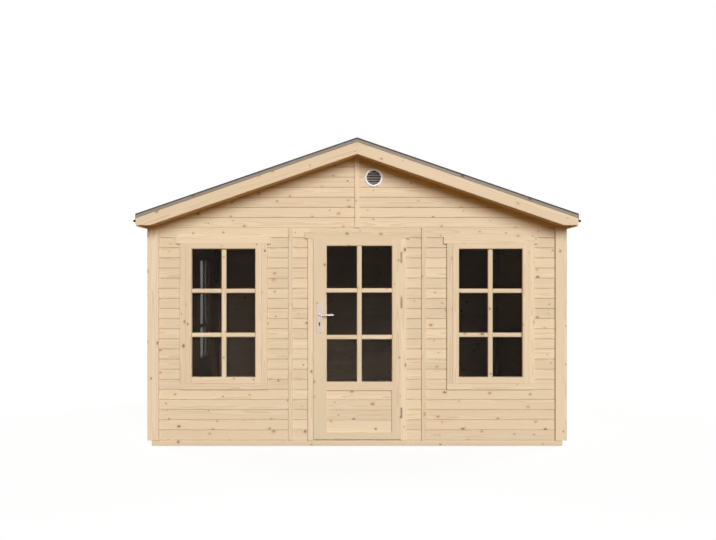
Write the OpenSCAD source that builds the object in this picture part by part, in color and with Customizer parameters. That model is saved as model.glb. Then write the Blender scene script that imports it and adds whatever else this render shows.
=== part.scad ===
// Timber summerhouse: panel walls, low gable roof with boxed verges, glazed door and casement windows.
// Front faces -Y, ground is Z = 0, and the origin is the middle of the plan.

/* [House] */
// Width over the corner boards
house_w = 3600; // [3300:10:4200]
// Depth over the corner boards
house_d = 3000; // [2400:10:4200]
// Thickness of the wall panels
wall_t = 28; // [22:1:34]
// Cover width of one wall board
board_cover = 87; // [82:1:92]
// Distance of the panel joints from the middle of the front
panel_joint_x = 572; // [520:1:620]
// Width of a corner board
corner_w = 98; // [80:1:120]
// Thickness of a corner board
corner_t = 19; // [14:1:24]
// Width of a strip that covers a panel joint
strip_w = 37; // [28:1:48]
// Width of the strip in the middle of a gable
gable_strip_w = 39; // [28:1:48]
// Thickness of the joint strips
strip_t = 14; // [8:1:16]
// Side of a corner post
corner_post = 50; // [44:1:50]
// Width of a post behind a panel joint
joint_post_w = 60; // [50:1:70]
// Depth of a post behind a panel joint
joint_post_d = 40; // [30:1:50]

/* [Base and floor] */
// Height of the base beams
base_h = 48; // [44:1:60]
// Width of a base beam
base_w = 90; // [86:1:110]
// How far the front and back beams stand proud of the boards
base_proud = 9; // [4:1:14]
// How far the beams end short of the corner boards
base_short = 36; // [28:1:42]
// Bevel on the top edge of the front and back beams
base_bevel = 8; // [2:1:9]
// Height of a floor joist
joist_h = 42; // [36:1:43]
// Width of a floor joist
joist_w = 60; // [40:1:80]
// Joists on each side of the middle one
joist_pairs = 3; // [2:1:4]
// Thickness of the floor boards
floor_t = 16; // [12:1:19]

/* [Roof] */
// Slope of the roof in degrees
pitch = 19; // [17:0.5:22]
// Height of an eaves beam on the outside of the wall
eave_beam_h = 100; // [90:1:120]
// Width of an eaves beam
eave_beam_w = 60; // [50:1:80]
// Overhang of the roof past the side walls
eave_overhang = 62; // [50:1:90]
// Overhang of the roof past the gable walls
verge_overhang = 219; // [150:1:300]
// Thickness of the roof boards
deck_t = 19; // [16:1:22]
// Thickness of the roofing felt
felt_t = 6; // [4:1:8]
// Height of the felt turned down over the verge
felt_lip_h = 11; // [8:1:16]
// Thickness of the felt turned down over the verge
felt_lip_t = 3; // [2:0.5:4]
// Reach of the ridge capping down each slope
ridge_cap_w = 150; // [100:5:200]
// Thickness of the ridge capping
ridge_cap_t = 4; // [3:0.5:6]
// How far the ridge capping ends short of the verges
ridge_cap_short = 40; // [30:1:60]
// Height of the strip above a bargeboard
verge_strip_h = 31; // [26:1:36]
// Width of a bargeboard
barge_w = 94; // [90:1:112]
// Thickness of a bargeboard
barge_t = 19; // [16:1:24]
// Height of the level cut under the eaves above the wall boards
eave_cut = 9; // [6:1:14]
// How far a soffit lies above the edge of its bargeboard
soffit_inset = 4; // [2:1:6]
// Thickness of a soffit
soffit_t = 16; // [12:1:18]
// Thickness of a fascia
fascia_t = 19; // [16:1:24]
// How far a fascia hangs below the level cut
fascia_drop = 12; // [8:1:16]
// Height of the drip edge
drip_h = 66; // [58:1:70]
// Thickness of the drip edge
drip_t = 4; // [3:0.5:5]
// Radius of the rolled bead at the foot of the drip edge
drip_bead_r = 10; // [8:0.5:12]
// Width of a purlin
purlin_w = 60; // [50:1:80]
// Height of a purlin
purlin_h = 78; // [60:1:79]
// Distance of the middle purlins from the ridge
purlin_x = 890; // [800:10:1000]

/* [Windows] */
// Width of a window frame
window_w = 652; // [600:1:680]
// Height of a window frame
window_h = 1198; // [1000:1:1400]
// How far the window heads lie below the door's head
window_head_drop = 45; // [0:1:60]
// How far the side window lies below the front windows
side_window_drop = 50; // [0:1:60]
// Width of a window stile
sash_stile = 54; // [44:1:64]
// Width of the top rail of a window
sash_top = 44; // [38:1:60]
// Width of the bottom rail of a window
sash_bottom = 55; // [44:1:64]
// Thickness of a window frame
sash_t = 50; // [48:1:58]
// How far a window frame stands proud of the boards
sash_proud = 22; // [20:1:26]
// Depth of the glass behind the face of a window frame
pane_depth = 38; // [30:1:40]
// Bevel round the panes
pane_bevel = 7; // [3:1:10]
// Thickness of the glass
glass_t = 4; // [3:1:6]
// Depth of the groove that holds a pane
pane_groove = 8; // [5:1:12]
// Width of the window boards at the sides
window_trim_w = 50; // [40:1:60]
// Width of the window board below
window_sill_w = 54; // [44:1:64]

/* [Trim boards] */
// Thickness of the boards round the openings
trim_t = 19; // [14:1:24]
// Height of the boards over the openings
head_trim_h = 59; // [50:1:70]
// How far a head board reaches past the side boards
head_trim_ear = 27; // [15:1:35]
// Width of the boards beside the door
door_trim_w = 52; // [45:1:60]

/* [Door] */
// Width of the doorway between its boards
doorway_w = 742; // [720:1:760]
// Height of the doorway's top edge
doorway_z = 1781; // [1730:1:1950]
// Gap round the sides and top of the leaf
door_gap = 7; // [7:0.5:9]
// Height of the leaf's bottom edge above the threshold
door_lift = 6; // [5:1:10]
// Height of the threshold
threshold_h = 10; // [8:1:16]
// Thickness of the leaf
leaf_t = 44; // [40:1:48]
// Thickness of the lip round the front of the leaf
lip_t = 10; // [9:1:14]
// How far the lip covers the boards round the doorway
lip_cover = 2; // [1:0.5:4]
// Gap between the lip and the boards behind it
lip_gap = 5.5; // [5:0.5:7]
// Width of a door jamb
jamb_w = 40; // [34:1:48]
// Depth of a door jamb
jamb_d = 60; // [52:1:70]
// Cover of the door stop
stop_w = 15; // [10:1:20]
// Gap between the leaf and its stop
stop_gap = 5; // [5:0.5:6]
// Width of the stile at the lock
lock_stile = 104; // [95:1:115]
// Width of the stile at the hinges
hinge_stile = 66; // [55:1:75]
// Height of the top rail
door_top_rail = 57; // [50:1:70]
// Height of the middle rail
door_mid_rail = 79; // [70:1:95]
// Height of the bottom rail
door_bottom_rail = 54; // [50:1:80]
// Height of the lower panel between its rails
door_panel_h = 358; // [300:1:420]
// Thickness of the lower panel
door_panel_t = 16; // [12:1:19]
// Depth of the lower panel behind the face of the leaf
door_panel_in = 14; // [8:1:18]

/* [Hinges] */
// Radius of a hinge barrel
barrel_r = 7; // [6:0.5:9]
// Length of the barrel on the frame
barrel_frame_l = 44; // [36:1:50]
// Length of the barrel on the leaf
barrel_leaf_l = 44; // [36:1:50]
// Gap between the two barrels
barrel_gap = 0.5; // [0.3:0.1:1]
// Radius of a hinge pin
pin_r = 3.5; // [3:0.1:4]
// Running clearance of a hinge pin
pin_clear = 0.05; // [0.03:0.01:0.1]
// Length of a hinge pin above its barrel
pin_l = 36; // [28:1:40]
// Gap between the barrels and the edge of the lip
barrel_out = 0.5; // [0.3:0.1:1]
// Radius of the stud that holds a barrel
stud_r = 3; // [2.5:0.5:3.5]
// Length of a stud in the wood
stud_l = 35; // [28:1:40]
// Heights of the hinges
hinge_z = [289, 1233, 1623];

/* [Handle] */
// Distance of the handle from the edge of the leaf
backset = 42; // [36:1:50]
// Height of the handle
handle_z = 1127; // [1000:1:1180]
// Width of a handle plate
plate_w = 44; // [36:1:50]
// Height of a handle plate
plate_h = 245; // [220:1:260]
// Height of the handle above the middle of its plate
plate_rise = 30; // [10:1:50]
// Thickness of a handle plate
plate_t = 6; // [4:1:8]
// Rounding of the corners of a handle plate
plate_round = 7; // [4:1:12]
// Radius of the lever
lever_r = 7; // [6.5:0.5:9]
// Length of the lever from its axis
lever_l = 125; // [100:1:140]
// Distance of the lever in front of its plate
lever_out = 42; // [34:1:50]
// Running clearance of the lever in its plate
lever_clear = 0.1; // [0.05:0.05:0.2]
// Radius of the spindle
spindle_r = 5; // [4:0.5:6]
// Radius of the hole for the spindle
spindle_hole_r = 10; // [8:0.5:12]
// Distance of the keyhole below the lever
key_drop = 72; // [60:1:80]
// Radius of the round part of the keyhole
key_r = 8.5; // [6:0.5:9]
// Width of the slot of the keyhole
key_slot_w = 10; // [6:0.5:11]
// Length of the slot of the keyhole
key_slot_l = 24; // [18:1:28]

/* [Vent] */
// Distance of the vent from the middle of the gable
vent_x = 143; // [110:1:200]
// Distance of the vent's middle below the soffit
vent_drop = 126; // [90:1:150]
// Outer radius of the vent's flange
vent_r = 78; // [70:1:84]
// Radius of the vent's opening
vent_in_r = 61; // [52:1:64]
// Thickness of the vent's sleeve
vent_sleeve_t = 4; // [3:0.5:5]
// Thickness of the vent's flange
vent_flange_t = 9; // [6:1:12]
// Number of louvres
louvre_n = 5; // [4:1:6]
// Depth of a louvre
louvre_d = 22; // [16:1:24]
// Thickness of a louvre
louvre_t = 3; // [2:0.5:4]
// Tilt of the louvres in degrees
louvre_tilt = 40; // [30:1:50]

/* [Hidden] */

wood = [0.91, 0.82, 0.69];
inner_wood = [0.80, 0.68, 0.52];
felt_grey = [0.28, 0.26, 0.26];
verge_grey = [0.56, 0.51, 0.46];
steel = [0.78, 0.78, 0.80];
dark_steel = [0.30, 0.27, 0.24];
white = [0.95, 0.95, 0.95];
slat_grey = [0.40, 0.37, 0.34];
clear_glass = [0.20, 0.22, 0.23, 0.6];

// Smoothness of round parts
$fn = 48;
// Hairline between two mitred pieces that share a name
mitre_gap = 0.6;
// Hairline between the sloping layers of the roof
roof_gap = 0.1;
// Overcut that carries a cut past a face
cut = 1;

// Plan
house_x = house_w / 2;
house_y = house_d / 2;
wall_x = house_x - corner_t;
wall_y = house_y - corner_t;
inner_x = wall_x - wall_t;
inner_y = wall_y - wall_t;
window_top = doorway_z - window_head_drop;
window_z = window_top - window_h;
board_rows = ceil((doorway_z + head_trim_h - base_h) / board_cover);
wall_top = base_h + board_rows * board_cover;
base_x = house_x - base_short;
base_y = wall_y + base_proud;
floor_x = base_x - base_w;
floor_y = base_y - base_w;

// Roof, as depths square to the slope below the top of the felt
deck_top = felt_t + roof_gap;
deck_bottom = deck_top + deck_t;
frame_top = deck_bottom + roof_gap;
verge_strip_bottom = deck_top + verge_strip_h;
barge_top = verge_strip_bottom + roof_gap;
barge_bottom = barge_top + barge_w;
soffit_bottom = barge_bottom - soffit_inset;
soffit_top = soffit_bottom - soffit_t;
ridge_z = wall_top + eave_beam_h + wall_x * tan(pitch) + frame_top / cos(pitch);
eave_x = wall_x + eave_overhang;
verge_y = wall_y + verge_overhang;
deck_y = verge_y - barge_t;
eave_z = wall_top + eave_cut;
level_bottom = eave_z + soffit_inset;
level_top = level_bottom + soffit_t;
fascia_in = eave_x - fascia_t;

// Doorway
door_x = doorway_w / 2;
leaf_x = door_x - door_gap;
trim_face = -(wall_y + trim_t);
leaf_face = trim_face - lip_gap - lip_t;
leaf_back = leaf_face + leaf_t;
leaf_bottom = base_h + threshold_h + door_lift;
leaf_top = doorway_z - door_gap;
lip_x = door_x + lip_cover;
lip_top = doorway_z + lip_cover;
lip_y = [leaf_face, leaf_face + lip_t];
glass_left = -leaf_x + lock_stile;
glass_right = leaf_x - hinge_stile;
panel_bottom = leaf_bottom + door_bottom_rail;
panel_top = panel_bottom + door_panel_h;
glass_bottom = panel_top + door_mid_rail;
glass_top = leaf_top - door_top_rail;
stop_face = leaf_back + stop_gap;
jamb_face = -wall_y;
jamb_back = jamb_face + jamb_d;
rough_x = door_x + jamb_w;
rough_z = doorway_z + jamb_w;
hinge_x = lip_x + barrel_out + barrel_r;
hinge_y = leaf_face + lip_t / 2;
lever_x = -leaf_x + backset;
lever_reach = plate_t + lever_out;
plate_mid = handle_z - plate_rise;

// Front windows stand midway between a joint strip and a corner board, the side one as far from its corner
window_x = (panel_joint_x + strip_w / 2 + house_x - corner_w) / 2;
side_window_y = house_y - (house_x - window_x);

// Window places: middle of the frame on the face of its wall, the turn about Z and the drop
WINDOWS = [
    [-window_x, -wall_y, 0, 0],
    [window_x, -wall_y, 0, 0],
    [-wall_x, side_window_y, -90, side_window_drop]
];
sash_x = window_w / 2;
pane_x = sash_x - sash_stile;
pane_bottom = window_z + sash_bottom;
pane_top = window_top - sash_top;
sash_face = -sash_proud;
sash_back = sash_face + sash_t;
pane_y = sash_face + pane_depth + glass_t / 2;
vent_z = roof_z(vent_x, soffit_bottom) - vent_drop;

// Height of the roof at a distance from the ridge and a depth below the felt
function roof_z(x, depth) = ridge_z - abs(x) * tan(pitch) - depth / cos(pitch);

// Distance from the ridge at which a depth below the felt reaches a height
function roof_x(z, depth) = (ridge_z - depth / cos(pitch) - z) / tan(pitch);

// Box between two corners
module block(x, y, z) {
    translate([x[0], y[0], z[0]])
        cube([x[1] - x[0], y[1] - y[0], z[1] - z[0]]);
}

// Outline in X and Z carried from y0 to y1
module along_y(y0, y1) {
    translate([0, y1, 0])
        rotate([90, 0, 0])
            linear_extrude(y1 - y0)
                children();
}

// The shape and its reflection in the middle plane
module left_and_right() {
    children();
    mirror([1, 0, 0])
        children();
}

// The shape and its reflection front to back
module front_and_back() {
    children();
    mirror([0, 1, 0])
        children();
}

// The shape at each window, with the face of the wall at y = 0
module at_windows() {
    for (place = WINDOWS)
        translate([place[0], place[1], -place[3]])
            rotate([0, 0, place[2]])
                children();
}

// Outline of one slope between two depths
module slope_band(x0, x1, top, bottom) {
    polygon([
        [x0, roof_z(x0, top)],
        [x1, roof_z(x1, top)],
        [x1, roof_z(x1, bottom)],
        [x0, roof_z(x0, bottom)]
    ]);
}

// Outline of all that lies under the soffits
module under_soffit() {
    knee = roof_x(level_bottom, soffit_bottom);
    polygon([
        [-eave_x, 0],
        [eave_x, 0],
        [eave_x, level_bottom],
        [knee, level_bottom],
        [0, roof_z(0, soffit_bottom)],
        [-knee, level_bottom],
        [-eave_x, level_bottom]
    ]);
}

// Upright rectangle cut off under the soffit
module soffit_board(x0, x1, z0) {
    intersection() {
        translate([x0, z0])
            square([x1 - x0, ridge_z - z0]);
        under_soffit();
    }
}

// Outline of the ridge purlin, carried on past its top by extra
module ridge_purlin_outline(extra = 0) {
    half = purlin_w / 2;
    foot = roof_z(0, frame_top) - purlin_h;
    polygon([
        [-half, foot],
        [half, foot],
        [half, roof_z(half, frame_top) + extra],
        [0, roof_z(0, frame_top) + extra],
        [-half, roof_z(half, frame_top) + extra]
    ]);
}

// Outline of a middle purlin, square to the slope and carried on past its top by extra
module middle_purlin_outline(extra = 0) {
    translate([purlin_x, roof_z(purlin_x, frame_top)])
        rotate(-pitch)
            translate([-purlin_w / 2, -purlin_h])
                square([purlin_w, purlin_h + extra]);
}

// Outline of a gable wall under the roof boards, notched for the purlins
module gable_outline() {
    difference() {
        polygon([
            [-wall_x, wall_top],
            [wall_x, wall_top],
            [wall_x, roof_z(wall_x, frame_top)],
            [0, roof_z(0, frame_top)],
            [-wall_x, roof_z(wall_x, frame_top)]
        ]);
        ridge_purlin_outline(cut);
        left_and_right()
            middle_purlin_outline(cut);
    }
}

// Hole through a wall for a window
module window_hole() {
    block([-sash_x, sash_x], [-cut, wall_t + cut], [window_z, window_top]);
}

// Three-sided bar that takes the edge off a corner along Z
module bevel_bar(size, length) {
    linear_extrude(length)
        polygon([[-cut, -cut], [size, -cut], [-cut, size]]);
}

module base_beams_front_back() {
    color(wood)
        front_and_back()
            translate([-base_x, 0, 0])
                rotate([90, 0, 90])
                    linear_extrude(2 * base_x)
                        polygon([
                            [-base_y, 0],
                            [-floor_y, 0],
                            [-floor_y, base_h],
                            [-base_y + base_bevel, base_h],
                            [-base_y, base_h - 2 * base_bevel]
                        ]);
}

module base_beams_sides() {
    color(wood)
        left_and_right()
            block([floor_x, base_x], [-floor_y, floor_y], [0, base_h]);
}

module floor_joists() {
    pitch_x = floor_x / (joist_pairs + 0.5);
    color(inner_wood)
        for (i = [-joist_pairs : joist_pairs])
            translate([i * pitch_x, 0, 0])
                block([-joist_w / 2, joist_w / 2], [-floor_y, floor_y], [0, joist_h]);
}

module floor_boards() {
    color(inner_wood)
        block([-floor_x, floor_x], [-floor_y, floor_y], [joist_h, joist_h + floor_t]);
}

module front_wall_left() {
    color(wood)
        difference() {
            block([-wall_x, -panel_joint_x], [-wall_y, -inner_y], [base_h, wall_top]);
            at_windows()
                window_hole();
        }
}

module front_wall_right() {
    color(wood)
        difference() {
            block([panel_joint_x, wall_x], [-wall_y, -inner_y], [base_h, wall_top]);
            at_windows()
                window_hole();
        }
}

module front_wall_beside_door() {
    color(wood)
        left_and_right()
            block([rough_x, panel_joint_x], [-wall_y, -inner_y], [base_h, wall_top]);
}

module front_wall_over_door() {
    color(wood)
        block([-rough_x, rough_x], [-wall_y, -inner_y], [rough_z, wall_top]);
}

module side_wall_panel() {
    block([-wall_x, -inner_x], [-inner_y, inner_y], [base_h, wall_top]);
}

module left_wall() {
    color(wood)
        difference() {
            side_wall_panel();
            at_windows()
                window_hole();
        }
}

module right_wall() {
    color(wood)
        mirror([1, 0, 0])
            side_wall_panel();
}

module back_wall() {
    color(wood)
        block([-wall_x, wall_x], [inner_y, wall_y], [base_h, wall_top]);
}

module front_gable() {
    color(wood)
        difference() {
            along_y(-wall_y, -inner_y)
                gable_outline();
            translate([vent_x, -wall_y - cut, vent_z])
                rotate([-90, 0, 0])
                    cylinder(r = vent_in_r + vent_sleeve_t, h = wall_t + 2 * cut);
        }
}

module back_gable() {
    color(wood)
        along_y(inner_y, wall_y)
            gable_outline();
}

module corner_boards_front_back() {
    color(wood)
        front_and_back()
            left_and_right()
                along_y(wall_y, house_y)
                    soffit_board(house_x - corner_w, house_x, base_h);
}

module corner_boards_sides() {
    color(wood)
        front_and_back()
            left_and_right()
                block([wall_x, house_x], [house_y - corner_w, wall_y], [base_h, level_bottom]);
}

module wall_posts() {
    height = [base_h, wall_top];
    joint_width = [-joint_post_w / 2, joint_post_w / 2];
    color(inner_wood) {
        front_and_back()
            left_and_right() {
                block([inner_x - corner_post, inner_x], [inner_y - corner_post, inner_y], height);
                translate([panel_joint_x, 0, 0])
                    block(joint_width, [inner_y - joint_post_d, inner_y], height);
            }
        left_and_right()
            block([inner_x - joint_post_d, inner_x], joint_width, height);
    }
}

module cover_strips() {
    color(wood) {
        front_and_back()
            left_and_right()
                translate([panel_joint_x, wall_y, base_h])
                    block([-strip_w / 2, strip_w / 2], [0, strip_t], [0, wall_top - base_h]);
        front_and_back()
            along_y(wall_y, wall_y + strip_t)
                soffit_board(-gable_strip_w / 2, gable_strip_w / 2, wall_top);
        left_and_right()
            block([wall_x, wall_x + strip_t], [-strip_w / 2, strip_w / 2], [base_h, level_bottom]);
    }
}

module roof_purlins() {
    color(inner_wood) {
        along_y(-deck_y, deck_y)
            ridge_purlin_outline();
        left_and_right() {
            along_y(-deck_y, deck_y)
                middle_purlin_outline();
            along_y(-inner_y, inner_y)
                polygon([
                    [wall_x - eave_beam_w, wall_top],
                    [wall_x, wall_top],
                    [wall_x, roof_z(wall_x, frame_top)],
                    [wall_x - eave_beam_w, roof_z(wall_x - eave_beam_w, frame_top)]
                ]);
        }
    }
}

module roof_boards() {
    color(inner_wood)
        left_and_right()
            along_y(-deck_y, deck_y)
                slope_band(mitre_gap / 2, eave_x, deck_top, deck_bottom);
}

module roof_felt() {
    felt_x = eave_x + drip_t;
    color(felt_grey)
        left_and_right() {
            along_y(-verge_y, verge_y)
                slope_band(mitre_gap / 2, felt_x, 0, felt_t);
            front_and_back()
                along_y(verge_y, verge_y + felt_lip_t)
                    slope_band(mitre_gap / 2, felt_x, 0, felt_lip_h);
        }
}

module ridge_cap() {
    cap_y = verge_y - ridge_cap_short;
    cap_top = -roof_gap - ridge_cap_t;
    foot_top = roof_z(ridge_cap_w, cap_top);
    foot = roof_z(ridge_cap_w, -roof_gap);
    color(felt_grey)
        along_y(-cap_y, cap_y)
            polygon([
                [-ridge_cap_w, foot],
                [0, roof_z(0, -roof_gap)],
                [ridge_cap_w, foot],
                [ridge_cap_w, foot_top],
                [0, roof_z(0, cap_top)],
                [-ridge_cap_w, foot_top]
            ]);
}

module bargeboards() {
    color(wood)
        front_and_back()
            left_and_right()
                along_y(deck_y, verge_y)
                    polygon([
                        [mitre_gap / 2, roof_z(mitre_gap / 2, barge_top)],
                        [eave_x, roof_z(eave_x, barge_top)],
                        [eave_x, eave_z],
                        [roof_x(eave_z, barge_bottom), eave_z],
                        [mitre_gap / 2, roof_z(mitre_gap / 2, barge_bottom)]
                    ]);
}

module verge_strips() {
    color(verge_grey)
        front_and_back()
            left_and_right()
                along_y(deck_y, verge_y)
                    slope_band(mitre_gap / 2, eave_x, deck_top, verge_strip_bottom);
}

module verge_soffits() {
    color(wood)
        front_and_back()
            left_and_right()
                along_y(wall_y, deck_y)
                    polygon([
                        [mitre_gap / 2, roof_z(mitre_gap / 2, soffit_top)],
                        [roof_x(level_top, soffit_top), level_top],
                        [fascia_in, level_top],
                        [fascia_in, level_bottom],
                        [roof_x(level_bottom, soffit_bottom), level_bottom],
                        [mitre_gap / 2, roof_z(mitre_gap / 2, soffit_bottom)]
                    ]);
}

module eave_soffits() {
    color(wood)
        left_and_right()
            block([wall_x, fascia_in], [-wall_y, wall_y], [level_bottom, level_top]);
}

module fascias() {
    color(wood)
        left_and_right()
            along_y(-deck_y, deck_y)
                polygon([
                    [fascia_in, eave_z - fascia_drop],
                    [eave_x, eave_z - fascia_drop],
                    [eave_x, roof_z(eave_x, frame_top)],
                    [fascia_in, roof_z(fascia_in, frame_top)]
                ]);
}

module drip_edges() {
    outer = eave_x + drip_t;
    foot = roof_z(eave_x, deck_top) - drip_h;
    color(felt_grey)
        left_and_right()
            along_y(-verge_y, verge_y) {
                polygon([
                    [eave_x, roof_z(eave_x, deck_top)],
                    [outer, roof_z(outer, deck_top)],
                    [outer, foot],
                    [eave_x, foot]
                ]);
                translate([outer + drip_bead_r - drip_t / 2, foot + drip_bead_r])
                    difference() {
                        circle(drip_bead_r);
                        circle(drip_bead_r - drip_t);
                    }
            }
}

// Studs of the hinges in the frame, from the hinge axis straight back
module frame_studs() {
    for (z = hinge_z)
        translate([hinge_x, hinge_y, z - barrel_frame_l / 2])
            rotate([-90, 0, 0])
                cylinder(r = stud_r, h = trim_face - hinge_y + stud_l);
}

// Studs of the hinges in the leaf, from the hinge axis into the stile
module leaf_studs() {
    for (z = hinge_z)
        translate([hinge_x, hinge_y, z + barrel_gap + barrel_leaf_l / 2])
            rotate([0, -90, 0])
                cylinder(r = stud_r, h = hinge_x - lip_x + stud_l);
}

module door_jambs() {
    color(wood)
        difference() {
            left_and_right() {
                block([door_x, rough_x], [jamb_face, jamb_back], [base_h, doorway_z]);
                block([door_x - stop_w, door_x + cut], [stop_face, jamb_back], [base_h + threshold_h, doorway_z]);
            }
            frame_studs();
        }
}

module door_head() {
    stop_x = door_x - stop_w;
    color(wood) {
        block([-rough_x, rough_x], [jamb_face, jamb_back], [doorway_z, rough_z]);
        block([-stop_x, stop_x], [stop_face, jamb_back], [doorway_z - stop_w, doorway_z + cut]);
    }
}

module threshold() {
    color(wood)
        block([-door_x, door_x], [jamb_face, jamb_back], [base_h, base_h + threshold_h]);
}

module side_trims() {
    color(wood) {
        difference() {
            left_and_right()
                block([door_x, door_x + door_trim_w], [trim_face, -wall_y], [base_h, doorway_z]);
            frame_studs();
        }
        at_windows()
            left_and_right()
                block([sash_x, sash_x + window_trim_w], [-trim_t, 0], [window_z, window_top]);
    }
}

module head_trims() {
    door_head_x = door_x + door_trim_w + head_trim_ear;
    window_head_x = sash_x + window_trim_w + head_trim_ear;
    color(wood) {
        block([-door_head_x, door_head_x], [trim_face, -wall_y], [doorway_z, doorway_z + head_trim_h]);
        at_windows()
            block([-window_head_x, window_head_x], [-trim_t, 0], [window_top, window_top + head_trim_h]);
    }
}

module window_sill_trims() {
    sill_x = sash_x + window_trim_w;
    color(wood)
        at_windows()
            block([-sill_x, sill_x], [-trim_t, 0], [window_z - window_sill_w, window_z]);
}

module pane() {
    block(
        [-pane_x - pane_groove, pane_x + pane_groove],
        [pane_y - glass_t / 2, pane_y + glass_t / 2],
        [pane_bottom - pane_groove, pane_top + pane_groove]
    );
}

module window_stiles() {
    color(wood)
        at_windows()
            left_and_right()
                difference() {
                    block([pane_x, sash_x], [sash_face, sash_back], [window_z, window_top]);
                    pane();
                    translate([pane_x, sash_face, pane_bottom])
                        bevel_bar(pane_bevel, pane_top - pane_bottom);
                }
}

module window_rails() {
    color(wood)
        at_windows()
            difference() {
                union() {
                    block([-pane_x, pane_x], [sash_face, sash_back], [window_z, pane_bottom]);
                    block([-pane_x, pane_x], [sash_face, sash_back], [pane_top, window_top]);
                }
                pane();
                translate([-pane_x, sash_face, pane_top])
                    rotate([90, 0, 90])
                        bevel_bar(pane_bevel, 2 * pane_x);
                translate([pane_x, sash_face, pane_bottom])
                    rotate([-90, 0, -90])
                        bevel_bar(pane_bevel, 2 * pane_x);
            }
}

module window_glass() {
    color(clear_glass)
        at_windows()
            pane();
}

module vent_ring() {
    color(white)
        translate([vent_x, -wall_y, vent_z])
            rotate([-90, 0, 0])
                rotate_extrude()
                    polygon([
                        [vent_in_r, -vent_flange_t],
                        [vent_r - vent_flange_t / 2, -vent_flange_t],
                        [vent_r, -vent_flange_t / 2],
                        [vent_r, 0],
                        [vent_in_r + vent_sleeve_t, 0],
                        [vent_in_r + vent_sleeve_t, wall_t],
                        [vent_in_r, wall_t]
                    ]);
}

module vent_louvres() {
    spacing = 2 * vent_in_r / (louvre_n + 0.5);
    color(slat_grey)
        translate([vent_x, -wall_y, vent_z])
            intersection() {
                rotate([-90, 0, 0])
                    translate([0, 0, -vent_flange_t])
                        cylinder(r = vent_in_r, h = vent_flange_t + wall_t);
                for (i = [0 : louvre_n - 1])
                    translate([0, wall_t / 2 - vent_flange_t / 2, (i - (louvre_n - 1) / 2) * spacing])
                        rotate([louvre_tilt, 0, 0])
                            cube([2 * vent_r, louvre_d, louvre_t], center = true);
            }
}

module hinge_frame_parts() {
    color(dark_steel) {
        for (z = hinge_z)
            translate([hinge_x, hinge_y, z - barrel_frame_l]) {
                cylinder(r = barrel_r, h = barrel_frame_l);
                cylinder(r = pin_r, h = barrel_frame_l + pin_l);
            }
        frame_studs();
    }
}

module hinge_door_parts() {
    color(dark_steel)
        difference() {
            union() {
                for (z = hinge_z)
                    translate([hinge_x, hinge_y, z + barrel_gap])
                        cylinder(r = barrel_r, h = barrel_leaf_l);
                leaf_studs();
            }
            for (z = hinge_z)
                translate([hinge_x, hinge_y, z + barrel_gap - cut])
                    cylinder(r = pin_r + pin_clear, h = pin_l + 2 * cut);
        }
}

module door_pane() {
    mid = (leaf_face + leaf_back) / 2;
    block(
        [glass_left - pane_groove, glass_right + pane_groove],
        [mid - glass_t / 2, mid + glass_t / 2],
        [glass_bottom - pane_groove, glass_top + pane_groove]
    );
}

module lower_panel() {
    face = leaf_face + door_panel_in;
    block(
        [glass_left - pane_groove, glass_right + pane_groove],
        [face, face + door_panel_t],
        [panel_bottom - pane_groove, panel_top + pane_groove]
    );
}

module door_stiles() {
    color(wood)
        difference() {
            union() {
                block([-leaf_x, glass_left], [leaf_face, leaf_back], [leaf_bottom, leaf_top]);
                block([-lip_x, glass_left], lip_y, [leaf_bottom, lip_top]);
                block([glass_right, leaf_x], [leaf_face, leaf_back], [leaf_bottom, leaf_top]);
                block([glass_right, lip_x], lip_y, [leaf_bottom, lip_top]);
            }
            leaf_studs();
            door_pane();
            lower_panel();
            translate([glass_right, leaf_face, glass_bottom])
                bevel_bar(pane_bevel, glass_top - glass_bottom);
            translate([glass_left, leaf_face, glass_bottom])
                mirror([1, 0, 0])
                    bevel_bar(pane_bevel, glass_top - glass_bottom);
            translate([lever_x, leaf_face - cut, handle_z])
                rotate([-90, 0, 0])
                    cylinder(r = spindle_hole_r, h = leaf_t + 2 * cut);
        }
}

module door_rails() {
    glass_w = glass_right - glass_left;
    color(wood)
        difference() {
            union() {
                for (span = [[leaf_bottom, panel_bottom], [panel_top, glass_bottom], [glass_top, leaf_top]])
                    block([glass_left, glass_right], [leaf_face, leaf_back], span);
                block([glass_left, glass_right], lip_y, [glass_top, lip_top]);
            }
            door_pane();
            lower_panel();
            translate([glass_left, leaf_face, glass_top])
                rotate([90, 0, 90])
                    bevel_bar(pane_bevel, glass_w);
            translate([glass_right, leaf_face, glass_bottom])
                rotate([-90, 0, -90])
                    bevel_bar(pane_bevel, glass_w);
        }
}

module door_panel() {
    color(wood)
        lower_panel();
}

module door_glass() {
    color(clear_glass)
        door_pane();
}

// Handle plate lying in X and Y with its face towards +Z and the lever's axis at the origin
module handle_plate() {
    corner = [plate_w / 2 - plate_round, plate_h / 2 - plate_round];
    difference() {
        linear_extrude(plate_t)
            translate([0, -plate_rise]) {
                square([plate_w, 2 * corner[1]], center = true);
                square([2 * corner[0], plate_h], center = true);
                for (x = [-corner[0], corner[0]], y = [-corner[1], corner[1]])
                    translate([x, y])
                        circle(plate_round);
            }
        translate([0, 0, -cut])
            cylinder(r = lever_r + lever_clear, h = plate_t + 2 * cut);
        translate([0, -key_drop, -cut]) {
            cylinder(r = key_r, h = plate_t + 2 * cut);
            translate([-key_slot_w / 2, -key_slot_l, 0])
                cube([key_slot_w, key_slot_l, plate_t + 2 * cut]);
        }
    }
}

module handle_plates() {
    color(steel)
        translate([lever_x, 0, handle_z]) {
            translate([0, leaf_face, 0])
                rotate([90, 0, 0])
                    handle_plate();
            translate([0, leaf_back, 0])
                mirror([0, 1, 0])
                    rotate([90, 0, 0])
                        handle_plate();
        }
}

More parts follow.
